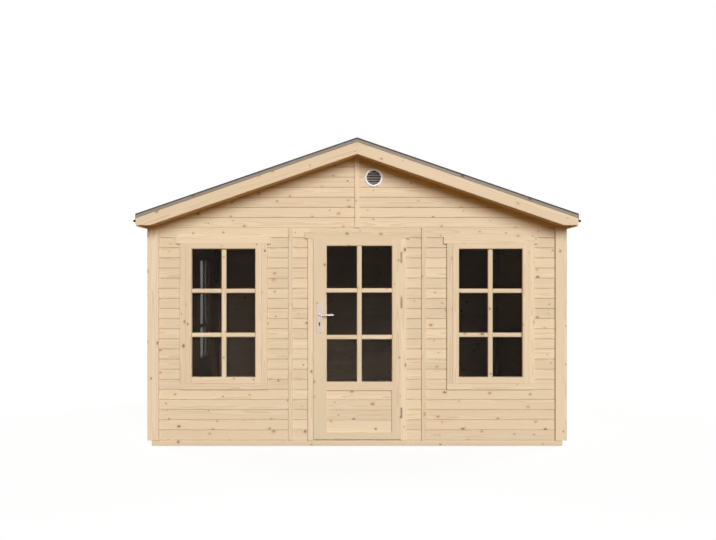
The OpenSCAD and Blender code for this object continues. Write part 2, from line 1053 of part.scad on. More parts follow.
// Lever with its neck along +Z from the face of the leaf and its grip along +X
module lever() {
    bend_r = 2 * lever_r;
    cylinder(r = lever_r, h = lever_reach - bend_r);
    translate([bend_r, 0, lever_reach - bend_r])
        rotate([90, 0, 180])
            rotate_extrude(angle = 90)
                translate([bend_r, 0])
                    circle(lever_r);
    translate([bend_r, 0, lever_reach])
        rotate([0, 90, 0])
            cylinder(r = lever_r, h = lever_l - bend_r - lever_r);
    translate([lever_l - lever_r, 0, lever_reach])
        sphere(lever_r);
}

module door_lever() {
    color(steel)
        translate([lever_x, 0, handle_z]) {
            translate([0, leaf_face, 0])
                rotate([90, 0, 0])
                    lever();
            translate([0, leaf_back, 0])
                mirror([0, 1, 0])
                    rotate([90, 0, 0])
                        lever();
            translate([0, leaf_face - cut, 0])
                rotate([-90, 0, 0])
                    cylinder(r = spindle_r, h = leaf_t + 2 * cut);
        }
}

base_beams_front_back();
base_beams_sides();
floor_joists();
floor_boards();
front_wall_left();
front_wall_right();
front_wall_beside_door();
front_wall_over_door();
left_wall();
right_wall();
back_wall();
front_gable();
back_gable();
corner_boards_front_back();
corner_boards_sides();
wall_posts();
cover_strips();
roof_purlins();
roof_boards();
roof_felt();
ridge_cap();
bargeboards();
verge_strips();
verge_soffits();
eave_soffits();
fascias();
drip_edges();
door_jambs();
door_head();
threshold();
side_trims();
head_trims();
window_sill_trims();
window_stiles();
window_rails();
window_glass();
vent_ring();
vent_louvres();
hinge_frame_parts();
door_stiles();
door_rails();
door_panel();
door_glass();
hinge_door_parts();
handle_plates();
door_lever();
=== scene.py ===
"""Looks of a timber summerhouse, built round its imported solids.

Lengths are in metres, the front faces -Y and the ground is Z = 0.
"""

import logging
import math
import random
from dataclasses import dataclass
from enum import Enum
from typing import Callable, ClassVar, Optional, Sequence, Union

import bmesh
import bpy
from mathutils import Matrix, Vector


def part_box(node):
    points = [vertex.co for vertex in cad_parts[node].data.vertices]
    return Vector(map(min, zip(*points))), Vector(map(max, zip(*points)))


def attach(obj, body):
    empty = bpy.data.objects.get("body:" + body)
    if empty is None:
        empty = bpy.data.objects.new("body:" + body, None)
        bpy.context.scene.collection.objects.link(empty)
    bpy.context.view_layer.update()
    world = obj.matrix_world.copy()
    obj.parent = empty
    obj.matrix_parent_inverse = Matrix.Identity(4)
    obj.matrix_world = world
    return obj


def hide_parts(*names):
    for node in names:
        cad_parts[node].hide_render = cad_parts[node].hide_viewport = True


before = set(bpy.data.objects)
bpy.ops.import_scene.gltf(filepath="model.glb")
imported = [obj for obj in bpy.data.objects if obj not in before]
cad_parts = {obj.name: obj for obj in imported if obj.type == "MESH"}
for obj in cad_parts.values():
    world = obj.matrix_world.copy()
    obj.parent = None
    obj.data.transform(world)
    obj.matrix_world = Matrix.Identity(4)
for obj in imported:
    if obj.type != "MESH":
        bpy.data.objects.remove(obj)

LOG = logging.getLogger("summerhouse")
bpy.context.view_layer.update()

Solid = bmesh.types.BMesh
Edge = bmesh.types.BMEdge
EdgeTest = Callable[[Edge], bool]
Node = bpy.types.Node
Socket = bpy.types.NodeSocket
Sockets = dict[str, Socket]
Value = Union[Socket, float, Sequence[float]]
Colour = tuple[float, float, float, float]

X_AXIS = Vector((1.0, 0.0, 0.0))
Y_AXIS = Vector((0.0, 1.0, 0.0))
Z_AXIS = Vector((0.0, 0.0, 1.0))
SQUARE = ((-1.0, -1.0), (1.0, -1.0), (1.0, 1.0), (-1.0, 1.0))
TOUCH = 1e-5
DIGITS = 5
PARALLEL = 0.99


class Slot(Enum):
    """Material slots of the record, passed along with the new pieces but not given to them."""

    WOOD = "wood"
    INNER_WOOD = "inner_wood"
    FELT = "felt"
    VERGE = "verge"
    HINGE_STEEL = "hinge_steel"
    HANDLE_STEEL = "handle_steel"


class Body(Enum):
    """Bodies that the new pieces ride on."""

    HOUSE = "house"
    DOOR = "door"


class Graph:
    """A node tree with short ways to add nodes and link them."""

    mix_inputs = (0, 6, 7)
    mix_output = 2

    def __init__(self, tree: bpy.types.NodeTree) -> None:
        """Keeps the tree that the nodes go into."""
        self.tree = tree

    def add(self, kind: str, **settings: object) -> Node:
        """Adds a node.

        Args:
            kind: Type of the node without the ShaderNode prefix.
            settings: Properties of the node.

        Returns:
            The new node.
        """
        node = self.tree.nodes.new("ShaderNode" + kind)
        for key, value in settings.items():
            setattr(node, key, value)
        return node

    def feed(self, socket: Socket, value: Value) -> None:
        """Links a socket to an output, or sets its constant."""
        if isinstance(value, Socket):
            self.tree.links.new(value, socket)
        else:
            socket.default_value = value

    def maths(self, operation: str, *values: Value) -> Socket:
        """Adds a Math node.

        Args:
            operation: Name of the operation.
            values: Its inputs in order.

        Returns:
            The result.
        """
        node = self.add("Math", operation=operation)
        for socket, value in zip(node.inputs, values):
            self.feed(socket, value)
        return node.outputs[0]

    def vector(self, operation: str, *values: Value) -> Node:
        """Adds a Vector Math node.

        Args:
            operation: Name of the operation.
            values: Its vector inputs in order.

        Returns:
            The node, because some operations put out a value.
        """
        node = self.add("VectorMath", operation=operation)
        for socket, value in zip(node.inputs, values):
            self.feed(socket, value)
        return node

    def scaled(self, vector: Value, factor: Value) -> Socket:
        """A vector or colour times a number."""
        node = self.vector("SCALE", vector)
        self.feed(node.inputs["Scale"], factor)
        return node.outputs[0]

    def split(self, vector: Value) -> tuple[Socket, ...]:
        """The three parts of a vector."""
        node = self.add("SeparateXYZ")
        self.feed(node.inputs[0], vector)
        return tuple(node.outputs)

    def join(self, *parts: Value) -> Socket:
        """A vector made of three parts."""
        node = self.add("CombineXYZ")
        for socket, value in zip(node.inputs, parts):
            self.feed(socket, value)
        return node.outputs[0]

    def noise(self, place: Value, scale: float, detail: float = 2.0) -> Socket:
        """Smooth noise from 0 to 1.

        Args:
            place: Where the noise is read.
            scale: Cells in a unit of length.
            detail: Octaves on top of the first.

        Returns:
            The value of the noise.
        """
        node = self.add("TexNoise", noise_dimensions="3D")
        self.feed(node.inputs["Vector"], place)
        node.inputs["Scale"].default_value = scale
        node.inputs["Detail"].default_value = detail
        return node.outputs[0]

    def ease(
        self, value: Value, low: Value, high: Value, start: float = 0.0, end: float = 1.0
    ) -> Socket:
        """A smooth step.

        Args:
            value: What is read.
            low: Where the step begins.
            high: Where it ends.
            start: What comes out below it.
            end: What comes out above it.

        Returns:
            The stepped value.
        """
        node = self.add("MapRange", interpolation_type="SMOOTHSTEP")
        for socket, given in zip(node.inputs, (value, low, high, start, end)):
            self.feed(socket, given)
        return node.outputs[0]

    def blend(self, factor: Value, a: Value, b: Value) -> Socket:
        """A colour between two colours.

        Args:
            factor: Share of the second colour.
            a: First colour.
            b: Second colour.

        Returns:
            The mixed colour.
        """
        node = self.add("Mix", data_type="RGBA")
        for index, given in zip(self.mix_inputs, (factor, a, b)):
            self.feed(node.inputs[index], given)
        return node.outputs[self.mix_output]

    def place_group(self, group: "ShaderGroup", **values: Value) -> Node:
        """Places a shared group in this tree.

        Args:
            group: The group.
            values: Its inputs, with an underscore for each space in a name.

        Returns:
            The group's node.
        """
        node = self.add("Group", node_tree=group.tree())
        for key, value in values.items():
            self.feed(node.inputs[key.replace("_", " ")], value)
        return node


class ShaderGroup:
    """An effect that several materials share, built once as a node group."""

    name = ""
    inputs: dict[str, str] = {}
    outputs: dict[str, str] = {}

    def tree(self) -> bpy.types.ShaderNodeTree:
        """The group's tree, made the first time that it is asked for."""
        found = bpy.data.node_groups.get(self.name)
        if found is not None:
            return found
        tree = bpy.data.node_groups.new(self.name, "ShaderNodeTree")
        for way, sockets in (("INPUT", self.inputs), ("OUTPUT", self.outputs)):
            for name, kind in sockets.items():
                tree.interface.new_socket(name=name, in_out=way, socket_type="NodeSocket" + kind)
        graph = Graph(tree)
        given = tree.nodes.new("NodeGroupInput").outputs
        made = self.build(graph, {name: given[name] for name in self.inputs})
        result = tree.nodes.new("NodeGroupOutput")
        for name, socket in made.items():
            tree.links.new(socket, result.inputs[name])
        return tree

    def build(self, graph: Graph, given: Sockets) -> Sockets:
        """Adds the nodes of the effect.

        Args:
            graph: Where they go.
            given: The group's inputs.

        Returns:
            What each output gets.
        """
        raise NotImplementedError


class SpruceFigure(ShaderGroup):
    """Growth rings, fibres and knots of planed spruce, read from a board's own grain place."""

    name = "spruce_figure"
    inputs = {
        "Place": "Vector",
        "Tone": "Float",
        "Pale": "Color",
        "Blush": "Color",
        "Latewood": "Color",
        "Knot": "Color",
        "Ring Width": "Float",
        "Ring Contrast": "Float",
        "Knot Share": "Float",
    }
    outputs = {"Color": "Color", "Roughness": "Float", "Height": "Float"}
    drift_cells = (1.1, 9.0)
    drift_bend = 0.02
    drift_shade = 0.13
    fibre_cells = (22.0, 640.0)
    fibre_shade = 0.12
    fibre_rough = 0.18
    late_begins = (0.35, 0.9)
    late_ends = (0.93, 1.0)
    late_rough = -0.10
    late_height = 0.5
    tone_turns = 7.31
    tone_shade = 0.11
    tone_base = 0.945
    rough_base = 0.62
    halo_bend = 0.005
    halo_stain = 0.4
    knot_along = 0.30
    knot_across = 0.087
    knot_length = 1.35
    knot_least = 0.0050
    knot_growth = 0.0090
    knot_core = (0.35, 1.25)
    knot_halo = (0.9, 2.6)
    knot_rough = -0.12
    knot_height = 0.6
    knot_rings = 2600.0
    knot_ring_depth = 0.14
    knot_light = (0.9, 0.65)
    wobble_cells = 90.0
    wobble = 0.006

    def build(self, graph: Graph, given: Sockets) -> Sockets:
        """Adds the rings, the fibres and the knots, and mixes their colours."""
        along, across, through = graph.split(given["Place"])
        drift = self.streaks(graph, given["Place"], self.drift_cells)
        fibre = self.streaks(graph, given["Place"], self.fibre_cells)
        beside = graph.maths("ADD", across, through)
        core, halo, hard = self.knots(graph, along, beside, given["Knot Share"])
        radius = graph.vector("LENGTH", graph.join(0.0, across, through)).outputs["Value"]
        radius = graph.maths("ADD", radius, graph.maths("MULTIPLY", drift, self.drift_bend))
        radius = graph.maths("ADD", radius, graph.maths("MULTIPLY", halo, self.halo_bend))
        phase = graph.maths("FRACT", graph.maths("DIVIDE", radius, given["Ring Width"]))
        late = graph.maths(
            "MULTIPLY",
            graph.ease(phase, *self.late_begins),
            graph.ease(phase, *self.late_ends, 1.0, 0.0),
        )
        warmth = graph.maths("FRACT", graph.maths("MULTIPLY", given["Tone"], self.tone_turns))
        rings = graph.maths("MULTIPLY", late, given["Ring Contrast"])
        stain = graph.maths("MULTIPLY", halo, self.halo_stain)
        colour = graph.blend(warmth, given["Pale"], given["Blush"])
        colour = graph.blend(rings, colour, given["Latewood"])
        colour = graph.blend(stain, colour, given["Latewood"])
        shade = graph.maths("MULTIPLY_ADD", given["Tone"], self.tone_shade, self.tone_base)
        shade = graph.maths("MULTIPLY_ADD", drift, self.drift_shade, shade)
        shade = graph.maths("MULTIPLY_ADD", fibre, self.fibre_shade, shade)
        colour = graph.scaled(colour, shade)
        colour = graph.blend(core, colour, graph.scaled(given["Knot"], hard))
        rough = graph.maths("MULTIPLY_ADD", fibre, self.fibre_rough, self.rough_base)
        rough = graph.maths("MULTIPLY_ADD", late, self.late_rough, rough)
        rough = graph.maths("MULTIPLY_ADD", core, self.knot_rough, rough)
        height = graph.maths("MULTIPLY_ADD", late, self.late_height, fibre)
        height = graph.maths("MULTIPLY_ADD", core, self.knot_height, height)
        return {"Color": colour, "Roughness": rough, "Height": height}

    @staticmethod
    def streaks(graph: Graph, place: Value, cells: tuple[float, float]) -> Socket:
        """Noise drawn out along the grain.

        Args:
            graph: Where the nodes go.
            place: Place in the log.
            cells: Cells of the noise in a metre along the grain and across it.

        Returns:
            The noise, from -0.5 to 0.5.
        """
        lengthwise, crosswise = cells
        drawn_out = graph.vector("MULTIPLY", place, (lengthwise, crosswise, crosswise)).outputs[0]
        return graph.maths("SUBTRACT", graph.noise(drawn_out, 1.0), 0.5)

    def knots(
        self, graph: Graph, along: Value, across: Value, share: Value
    ) -> tuple[Socket, Socket, Socket]:
        """Scatters knots, at most one in each cell of a board.

        Args:
            graph: Where the nodes go.
            along: Distance along the grain.
            across: Distance across it.
            share: Share of the cells that have a knot.

        Returns:
            The knot itself, the figure that bends round it, and how light the knot is.
        """
        cell = graph.add("TexVoronoi", voronoi_dimensions="2D", feature="F1")
        cell.inputs["Scale"].default_value = 1.0
        place = graph.join(
            graph.maths("DIVIDE", along, self.knot_along),
            graph.maths("DIVIDE", across, self.knot_across),
            0.0,
        )
        graph.feed(cell.inputs["Vector"], place)
        offset = graph.vector("SUBTRACT", place, cell.outputs["Position"]).outputs[0]
        size = (self.knot_along / self.knot_length, self.knot_across, 0.0)
        offset = graph.vector("MULTIPLY", offset, size).outputs[0]
        away = graph.vector("LENGTH", offset).outputs["Value"]
        uneven_place = graph.join(
            graph.maths("MULTIPLY", along, self.wobble_cells),
            graph.maths("MULTIPLY", across, self.wobble_cells),
            0.0,
        )
        uneven = graph.noise(uneven_place, 1.0)
        away = graph.maths("SUBTRACT", away, self.wobble / 2)
        away = graph.maths("MULTIPLY_ADD", uneven, self.wobble, away)
        colour = graph.add("SeparateColor")
        graph.feed(colour.inputs[0], cell.outputs["Color"])
        chance, growth, light = colour.outputs
        there = graph.maths("LESS_THAN", chance, share)
        growth = graph.maths("MULTIPLY", growth, growth)
        radius = graph.maths("MULTIPLY_ADD", growth, self.knot_growth, self.knot_least)
        core, halo = (
            graph.ease(away, *(graph.maths("MULTIPLY", radius, reach) for reach in rim), 1.0, 0.0)
            for rim in (self.knot_core, self.knot_halo)
        )
        rings = graph.maths("SINE", graph.maths("MULTIPLY", away, self.knot_rings))
        hard = graph.maths("MULTIPLY_ADD", light, *self.knot_light)
        hard = graph.maths("MULTIPLY_ADD", rings, self.knot_ring_depth, hard)
        return graph.maths("MULTIPLY", core, there), graph.maths("MULTIPLY", halo, there), hard


class FineSpeckle(ShaderGroup):
    """Grains or brush marks of a given size, and a broad unevenness over them."""

    name = "fine_speckle"
    inputs = {"Place": "Vector", "Stretch": "Vector", "Broad": "Float"}
    outputs = {"Grain": "Float", "Patch": "Float", "Height": "Float"}
    grain_detail = 3.0
    grain_range = (0.28, 0.72)
    patch_range = (0.3, 0.7)
    cell_depth = 0.6

    def build(self, graph: Graph, given: Sockets) -> Sockets:
        """Adds a fine noise, a broad noise and small cells for the height."""
        fine_place = graph.vector("MULTIPLY", given["Place"], given["Stretch"]).outputs[0]
        grain = graph.noise(fine_place, 1.0, self.grain_detail)
        patch = graph.noise(graph.scaled(given["Place"], given["Broad"]), 1.0)
        cells = graph.add("TexVoronoi", voronoi_dimensions="3D", feature="F1")
        graph.feed(cells.inputs["Vector"], fine_place)
        cells.inputs["Scale"].default_value = 1.0
        pits = graph.maths("MULTIPLY", cells.outputs["Distance"], self.cell_depth)
        return {
            "Grain": graph.ease(grain, *self.grain_range),
            "Patch": graph.ease(patch, *self.patch_range),
            "Height": graph.maths("SUBTRACT", grain, pits),
        }


SPRUCE = SpruceFigure()
SPECKLE = FineSpeckle()


class Finish:
    """A surface finish that makes its own material."""

    name: str

    def material(self) -> bpy.types.Material:
        """The finish's material, made the first time that it is asked for."""
        found = bpy.data.materials.get(self.name)
        if found is not None:
            return found
        material = bpy.data.materials.new(self.name)
        material.use_nodes = True
        material.node_tree.nodes.clear()
        graph = Graph(material.node_tree)
        shader = graph.add("BsdfPrincipled")
        self.shade(graph, shader)
        output = graph.add("OutputMaterial")
        graph.feed(output.inputs["Surface"], shader.outputs[0])
        return material

    def shade(self, graph: Graph, shader: Node) -> None:
        """Sets and links the sockets of the shader."""
        raise NotImplementedError

    @staticmethod
    def bump(graph: Graph, shader: Node, height: Value, depth: float) -> None:
        """Raises a surface.

        Args:
            graph: The material's nodes.
            shader: The shader whose normal is bent.
            height: Height over the surface.
            depth: Length in metres of one unit of height.
        """
        node = graph.add("Bump")
        node.inputs["Strength"].default_value = 1.0
        node.inputs["Distance"].default_value = depth
        graph.feed(node.inputs["Height"], height)
        graph.feed(shader.inputs["Normal"], node.outputs[0])


@dataclass(frozen=True)
class TimberFinish(Finish):
    """Planed softwood, with the colours of its wood and the size of its figure."""

    name: str
    pale: Colour
    blush: Colour
    latewood: Colour
    knot: Colour
    ring_width: float = 0.0031
    ring_contrast: float = 0.55
    knot_share: float = 0.70
    specular: float = 0.28
    relief: float = 0.0002

    def shade(self, graph: Graph, shader: Node) -> None:
        """Reads the board's grain place and tone, and colours the board."""
        figure = graph.place_group(
            SPRUCE,
            Place=graph.add("Attribute", attribute_name="grain").outputs["Vector"],
            Tone=graph.add("Attribute", attribute_name="tone").outputs["Fac"],
            Pale=self.pale,
            Blush=self.blush,
            Latewood=self.latewood,
            Knot=self.knot,
            Ring_Width=self.ring_width,
            Ring_Contrast=self.ring_contrast,
            Knot_Share=self.knot_share,
        )
        graph.feed(shader.inputs["Base Color"], figure.outputs["Color"])
        graph.feed(shader.inputs["Roughness"], figure.outputs["Roughness"])
        shader.inputs["Specular IOR Level"].default_value = self.specular
        self.bump(graph, shader, figure.outputs["Height"], self.relief)


@dataclass(frozen=True)
class SpeckledFinish(Finish):
    """A finish of fine grains or brush marks, such as felt, moulded plastic or satin metal."""

    name: str
    dark: Colour
    light: Colour
    stretch: tuple[float, float, float]
    broad: float
    smooth: float
    rough: float
    depth: float
    metallic: float = 0.0
    specular: float = 0.5
    patchy: float = 0.45

    def shade(self, graph: Graph, shader: Node) -> None:
        """Mixes two colours and two roughnesses by the grains."""
        place = graph.add("TexCoord").outputs["Object"]
        speckle = graph.place_group(SPECKLE, Place=place, Stretch=self.stretch, Broad=self.broad)
        grains = graph.maths("MULTIPLY", speckle.outputs["Grain"], 1.0 - self.patchy)
        share = graph.maths("MULTIPLY_ADD", speckle.outputs["Patch"], self.patchy, grains)
        graph.feed(shader.inputs["Base Color"], graph.blend(share, self.dark, self.light))
        roughness = graph.ease(speckle.outputs["Grain"], 0.0, 1.0, self.smooth, self.rough)
        graph.feed(shader.inputs["Roughness"], roughness)
        shader.inputs["Metallic"].default_value = self.metallic
        shader.inputs["Specular IOR Level"].default_value = self.specular
        self.bump(graph, shader, speckle.outputs["Height"], self.depth)


@dataclass(frozen=True)
class PaneFinish(Finish):
    """Sheet glass with a slight wave, whose grey tint is painted shade on the room seen through it.
    """

    name: str
    tint: Colour
    ior: float
    wave: float
    wave_cells: float = 2.2

    def shade(self, graph: Graph, shader: Node) -> None:
        """Lets light through and bends the surface a little."""
        # The grey tint darkens the room behind the glass: painted shade.
        shader.inputs["Base Color"].default_value = self.tint
        shader.inputs["Transmission Weight"].default_value = 1.0
        shader.inputs["Roughness"].default_value = 0.0
        shader.inputs["IOR"].default_value = self.ior
        place = graph.add("TexCoord").outputs["Object"]
        self.bump(graph, shader, graph.noise(place, self.wave_cells, detail=1.0), self.wave)


PLANED = TimberFinish(
    name="planed_spruce",
    pale=(0.815, 0.655, 0.450, 1.0),
    blush=(0.813, 0.632, 0.434, 1.0),
    latewood=(0.670, 0.470, 0.267, 1.0),
    knot=(0.420, 0.240, 0.115, 1.0),
)
# Spruce of the parts inside: the same wood as the walls, darker and warmer as painted shade of the
# room.
INDOOR_PAINTED_SHADE = TimberFinish(
    name="indoor_spruce_painted_shade",
    pale=(0.640, 0.455, 0.270, 1.0),
    blush=(0.620, 0.425, 0.245, 1.0),
    latewood=(0.480, 0.300, 0.150, 1.0),
    knot=(0.180, 0.085, 0.035, 1.0),
)
# Spruce of the soffits: darker and more orange than the other boards, as painted shade under the
# roof's overhang.
SOFFIT_PAINTED_SHADE = TimberFinish(
    name="soffit_spruce_painted_shade",
    pale=(0.520, 0.320, 0.130, 1.0),
    blush=(0.500, 0.300, 0.120, 1.0),
    latewood=(0.390, 0.220, 0.080, 1.0),
    knot=(0.170, 0.080, 0.035, 1.0),
)
STAINED = TimberFinish(
    name="stained_strip",
    pale=(0.345, 0.285, 0.225, 1.0),
    blush=(0.325, 0.268, 0.213, 1.0),
    latewood=(0.250, 0.203, 0.160, 1.0),
    knot=(0.110, 0.080, 0.060, 1.0),
    knot_share=0.25,
)
FELT = SpeckledFinish(
    name="mineral_felt",
    dark=(0.055, 0.051, 0.050, 1.0),
    light=(0.140, 0.130, 0.128, 1.0),
    stretch=(420.0, 420.0, 420.0),
    broad=1.7,
    smooth=0.78,
    rough=0.95,
    depth=0.0009,
    specular=0.25,
    patchy=0.20,
)
DRIP_METAL = SpeckledFinish(
    name="dark_drip_metal",
    dark=(0.018, 0.016, 0.015, 1.0),
    light=(0.045, 0.040, 0.038, 1.0),
    stretch=(300.0, 300.0, 300.0),
    broad=9.0,
    smooth=0.42,
    rough=0.60,
    depth=0.00005,
    specular=0.35,
)
WHITE_PLASTIC = SpeckledFinish(
    name="white_plastic",
    dark=(0.88, 0.875, 0.86, 1.0),
    light=(0.95, 0.945, 0.93, 1.0),
    stretch=(900.0, 900.0, 900.0),
    broad=14.0,
    smooth=0.34,
    rough=0.46,
    depth=0.00004,
)
GREY_PLASTIC = SpeckledFinish(
    name="grey_louvre",
    dark=(0.270, 0.240, 0.215, 1.0),
    light=(0.380, 0.345, 0.315, 1.0),
    stretch=(900.0, 900.0, 900.0),
    broad=18.0,
    smooth=0.40,
    rough=0.55,
    depth=0.00004,
)
ZINC = SpeckledFinish(
    name="dull_zinc",
    dark=(0.200, 0.130, 0.075, 1.0),
    light=(0.420, 0.290, 0.175, 1.0),
    stretch=(500.0, 500.0, 500.0),
    broad=60.0,
    smooth=0.36,
    rough=0.58,
    depth=0.00005,
    metallic=1.0,
)
SATIN = SpeckledFinish(
    name="satin_steel",
    dark=(0.540, 0.445, 0.400, 1.0),
    light=(0.580, 0.480, 0.435, 1.0),
    stretch=(2400.0, 2400.0, 160.0),
    broad=30.0,
    smooth=0.18,
    rough=0.24,
    depth=0.000008,
    metallic=1.0,
)
# Clear glass, given a grey tint as painted shade of the room behind it.
PANE_PAINTED_SHADE = PaneFinish(name="sheet_glass_painted_shade", tint=(0.46, 0.46, 0.46, 1.0), ior=1.165, wave=0.00025)


def runs_along(edge: Edge, direction: Vector) -> bool:
    """Says whether an edge runs in a direction or against it."""
    return abs((edge.verts[1].co - edge.verts[0].co).normalized().dot(direction)) > PARALLEL


class Joinery:
    """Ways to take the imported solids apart, saw them and ease their edges."""

    rank_digits = 4
    same_place = 1e-6
    same_plane = 0.005
    saw_width = 1e-7
    sharp = math.radians(25)

    @staticmethod
    def solids(node: str) -> list[Solid]:
        """Separates the solids of a node.

        Args:
            node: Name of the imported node.

        Returns:
            A closed mesh for each solid, with its flat faces in one piece.
        """
        whole = bmesh.new()
        whole.from_mesh(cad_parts[node].data)
        bmesh.ops.remove_doubles(whole, verts=whole.verts, dist=Joinery.same_place)
        bmesh.ops.dissolve_limit(
            whole, angle_limit=Joinery.same_plane, verts=whole.verts, edges=whole.edges
        )
        whole.verts.index_update()
        whole.faces.index_update()
        left = set(whole.verts)
        found = []
        for start in whole.verts:
            if start not in left:
                continue
            left.discard(start)
            island, waiting = [start], [start]
            while waiting:
                for edge in waiting.pop().link_edges:
                    for vert in edge.verts:
                        if vert in left:
                            left.discard(vert)
                            island.append(vert)
                            waiting.append(vert)
            solid = bmesh.new()
            copies = {vert: solid.verts.new(vert.co) for vert in island}
            for face in whole.faces:
                if face.verts[0] in copies:
                    solid.faces.new([copies[vert] for vert in face.verts])
            bmesh.ops.recalc_face_normals(solid, faces=solid.faces)
            found.append(solid)
        whole.free()
        return sorted(found, key=Joinery.rank)

    @staticmethod
    def rank(solid: Solid) -> tuple[float, ...]:
        """Place of a solid in the order from left to right, front to back and up."""
        return tuple(round(length, Joinery.rank_digits) for length in Joinery.middle(solid))

    @staticmethod
    def middle(solid: Solid) -> Vector:
        """Middle of a solid's box."""
        low, high = Joinery.box(solid)
        return (low + high) / 2

    @staticmethod
    def box(solid: Solid) -> tuple[Vector, Vector]:
        """Lowest and highest corner of a solid."""
        places = [vert.co for vert in solid.verts]
        low = Vector(min(place[i] for place in places) for i in range(3))
        return low, Vector(max(place[i] for place in places) for i in range(3))

    @staticmethod
    def boxes(node: str) -> list[tuple[Vector, Vector]]:
        """Boxes of the solids of a node."""
        found = []
        for solid in Joinery.solids(node):
            found.append(Joinery.box(solid))
            solid.free()
        return found

    @staticmethod
    def span(solid: Solid, axis: Vector) -> tuple[float, float]:
        """Lowest and highest place of a solid along an axis."""
        places = [vert.co.dot(axis) for vert in solid.verts]
        return min(places), max(places)

    @staticmethod
    def trim(
        solid: Solid, axis: Vector, low: float, high: float
    ) -> Optional[Solid]:
        """Saws the stretch between two places out of a solid.

        Args:
            solid: The solid, which stays whole.
            axis: Direction along which the places are measured.
            low: Where the stretch begins.
            high: Where it ends.

        Returns:
            The closed stretch, or None where nothing is left.
        """
        part = solid.copy()
        for level, outward in ((low, -axis), (high, axis)):
            if not part.verts:
                break
            if level * outward.dot(axis) >= Joinery.span(part, outward)[1] - TOUCH:
                continue
            bmesh.ops.bisect_plane(
                part,
                geom=part.verts[:] + part.edges[:] + part.faces[:],
                dist=Joinery.saw_width,
                plane_co=axis * level,
                plane_no=outward,
                clear_outer=True,
            )
            rim = [edge for edge in part.edges if edge.is_boundary]
            bmesh.ops.holes_fill(part, edges=rim, sides=0)
        if not part.faces:
            part.free()
            return None
        bmesh.ops.recalc_face_normals(part, faces=part.faces)
        return part

    @staticmethod
    def ease(
        solid: Solid,
        width: float,
        steps: int = 2,
        wanted: Optional[EdgeTest] = None,
    ) -> None:
        """Takes the sharpness off the outer edges of a solid.

        Args:
            solid: The solid, which is changed.
            width: Width of the eased edge.
            steps: Faces across it.
            wanted: Says which edges are eased; all outer edges without it.
        """
        edges = [
            edge
            for edge in solid.edges
            if len(edge.link_faces) == 2
            and edge.is_convex
            and edge.calc_face_angle(0.0) > Joinery.sharp
            and (wanted is None or wanted(edge))
        ]
        if edges:
            bmesh.ops.bevel(
                solid,
                geom=edges,
                offset=width,
                segments=steps,
                profile=0.5,
                affect="EDGES",
                clamp_overlap=True,
            )


@dataclass
class Figure:
    """Where a board lay in its log: its directions, the place of the pith and its tone."""

    along: Vector
    across: Vector
    through: Vector
    origin: Vector
    tone: float
    log_length: ClassVar[float] = 40.0
    pith_shift: ClassVar[float] = 0.6
    pith_depth: ClassVar[tuple[float, float]] = (0.02, 0.11)

    @classmethod
    def of(
        cls, solid: Solid, chance: random.Random, along: Optional[Vector] = None
    ) -> "Figure":
        """Lays the grain along the longest edge of a timber.

        Args:
            solid: The timber.
            chance: Source of the timber's own figure.
            along: Direction of the grain where it isn't the longest edge.

        Returns:
            The timber's figure.
        """
        if along is None:
            longest = max(solid.edges, key=lambda edge: round(edge.calc_length(), DIGITS))
            along = (longest.verts[1].co - longest.verts[0].co).normalized()
            along *= math.copysign(1.0, sum(along))
        side = along.cross(X_AXIS if abs(along.y) > PARALLEL else Y_AXIS).normalized()
        spans = {axis.freeze(): Joinery.span(solid, axis) for axis in (side, along.cross(side))}
        across, through = sorted(
            spans, key=lambda axis: round(spans[axis][0] - spans[axis][1], DIGITS)
        )
        width = spans[across][1] - spans[across][0]
        thick = spans[through][1] - spans[through][0]
        start = -chance.uniform(0.0, cls.log_length)
        shift = chance.uniform(-cls.pith_shift, cls.pith_shift) * width
        depth = chance.choice((-1.0, 1.0)) * (thick / 2 + chance.uniform(*cls.pith_depth))
        origin = Vector((start, sum(spans[across]) / 2 + shift, sum(spans[through]) / 2 + depth))
        return cls(along, Vector(across), Vector(through), origin, chance.random())

    def grain(self, place: Vector) -> Vector:
        """Place of a point along, across and through the log."""
        axes = (self.along, self.across, self.through)
        return Vector([place.dot(axis) for axis in axes]) - self.origin


class TimberPiece:
    """One visible piece made of timbers, each with a figure of its own."""

    def __init__(self, name: str) -> None:
        """Starts an empty piece."""
        self.name = name
        self.chance = random.Random(name)
        self.places: list[Vector] = []
        self.faces: list[list[int]] = []
        self.grains: list[float] = []
        self.tones: list[float] = []

    def add(self, solid: Solid, figure: Optional[Figure] = None) -> None:
        """Adds a timber and frees its mesh.

        Args:
            solid: The finished timber.
            figure: Its figure; made from its longest edge without one.
        """
        if figure is None:
            figure = Figure.of(solid, self.chance)
        first = len(self.places)
        solid.verts.index_update()
        for vert in solid.verts:
            self.places.append(vert.co.copy())
            self.grains.extend(figure.grain(vert.co))
            self.tones.append(figure.tone)
        for face in solid.faces:
            self.faces.append([first + vert.index for vert in face.verts])
        solid.free()

    def place(self, finish: Finish, slot: Slot, body: Body, *replaced: str) -> None:
        """Makes the object and sets it on its body.

        Args:
            finish: Finish of the timbers.
            slot: Slot of the record that the finish belongs to.
            body: Body that it rides on.
            replaced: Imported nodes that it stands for.
        """
        mesh = bpy.data.meshes.new(self.name)
        mesh.from_pydata(self.places, [], self.faces)
        grain = mesh.attributes.new("grain", "FLOAT_VECTOR", "POINT")
        grain.data.foreach_set("vector", self.grains)
        tone = mesh.attributes.new("tone", "FLOAT", "POINT")
        tone.data.foreach_set("value", self.tones)
        mesh.update()
        set_piece(self.name, mesh, finish, slot, body, *replaced)


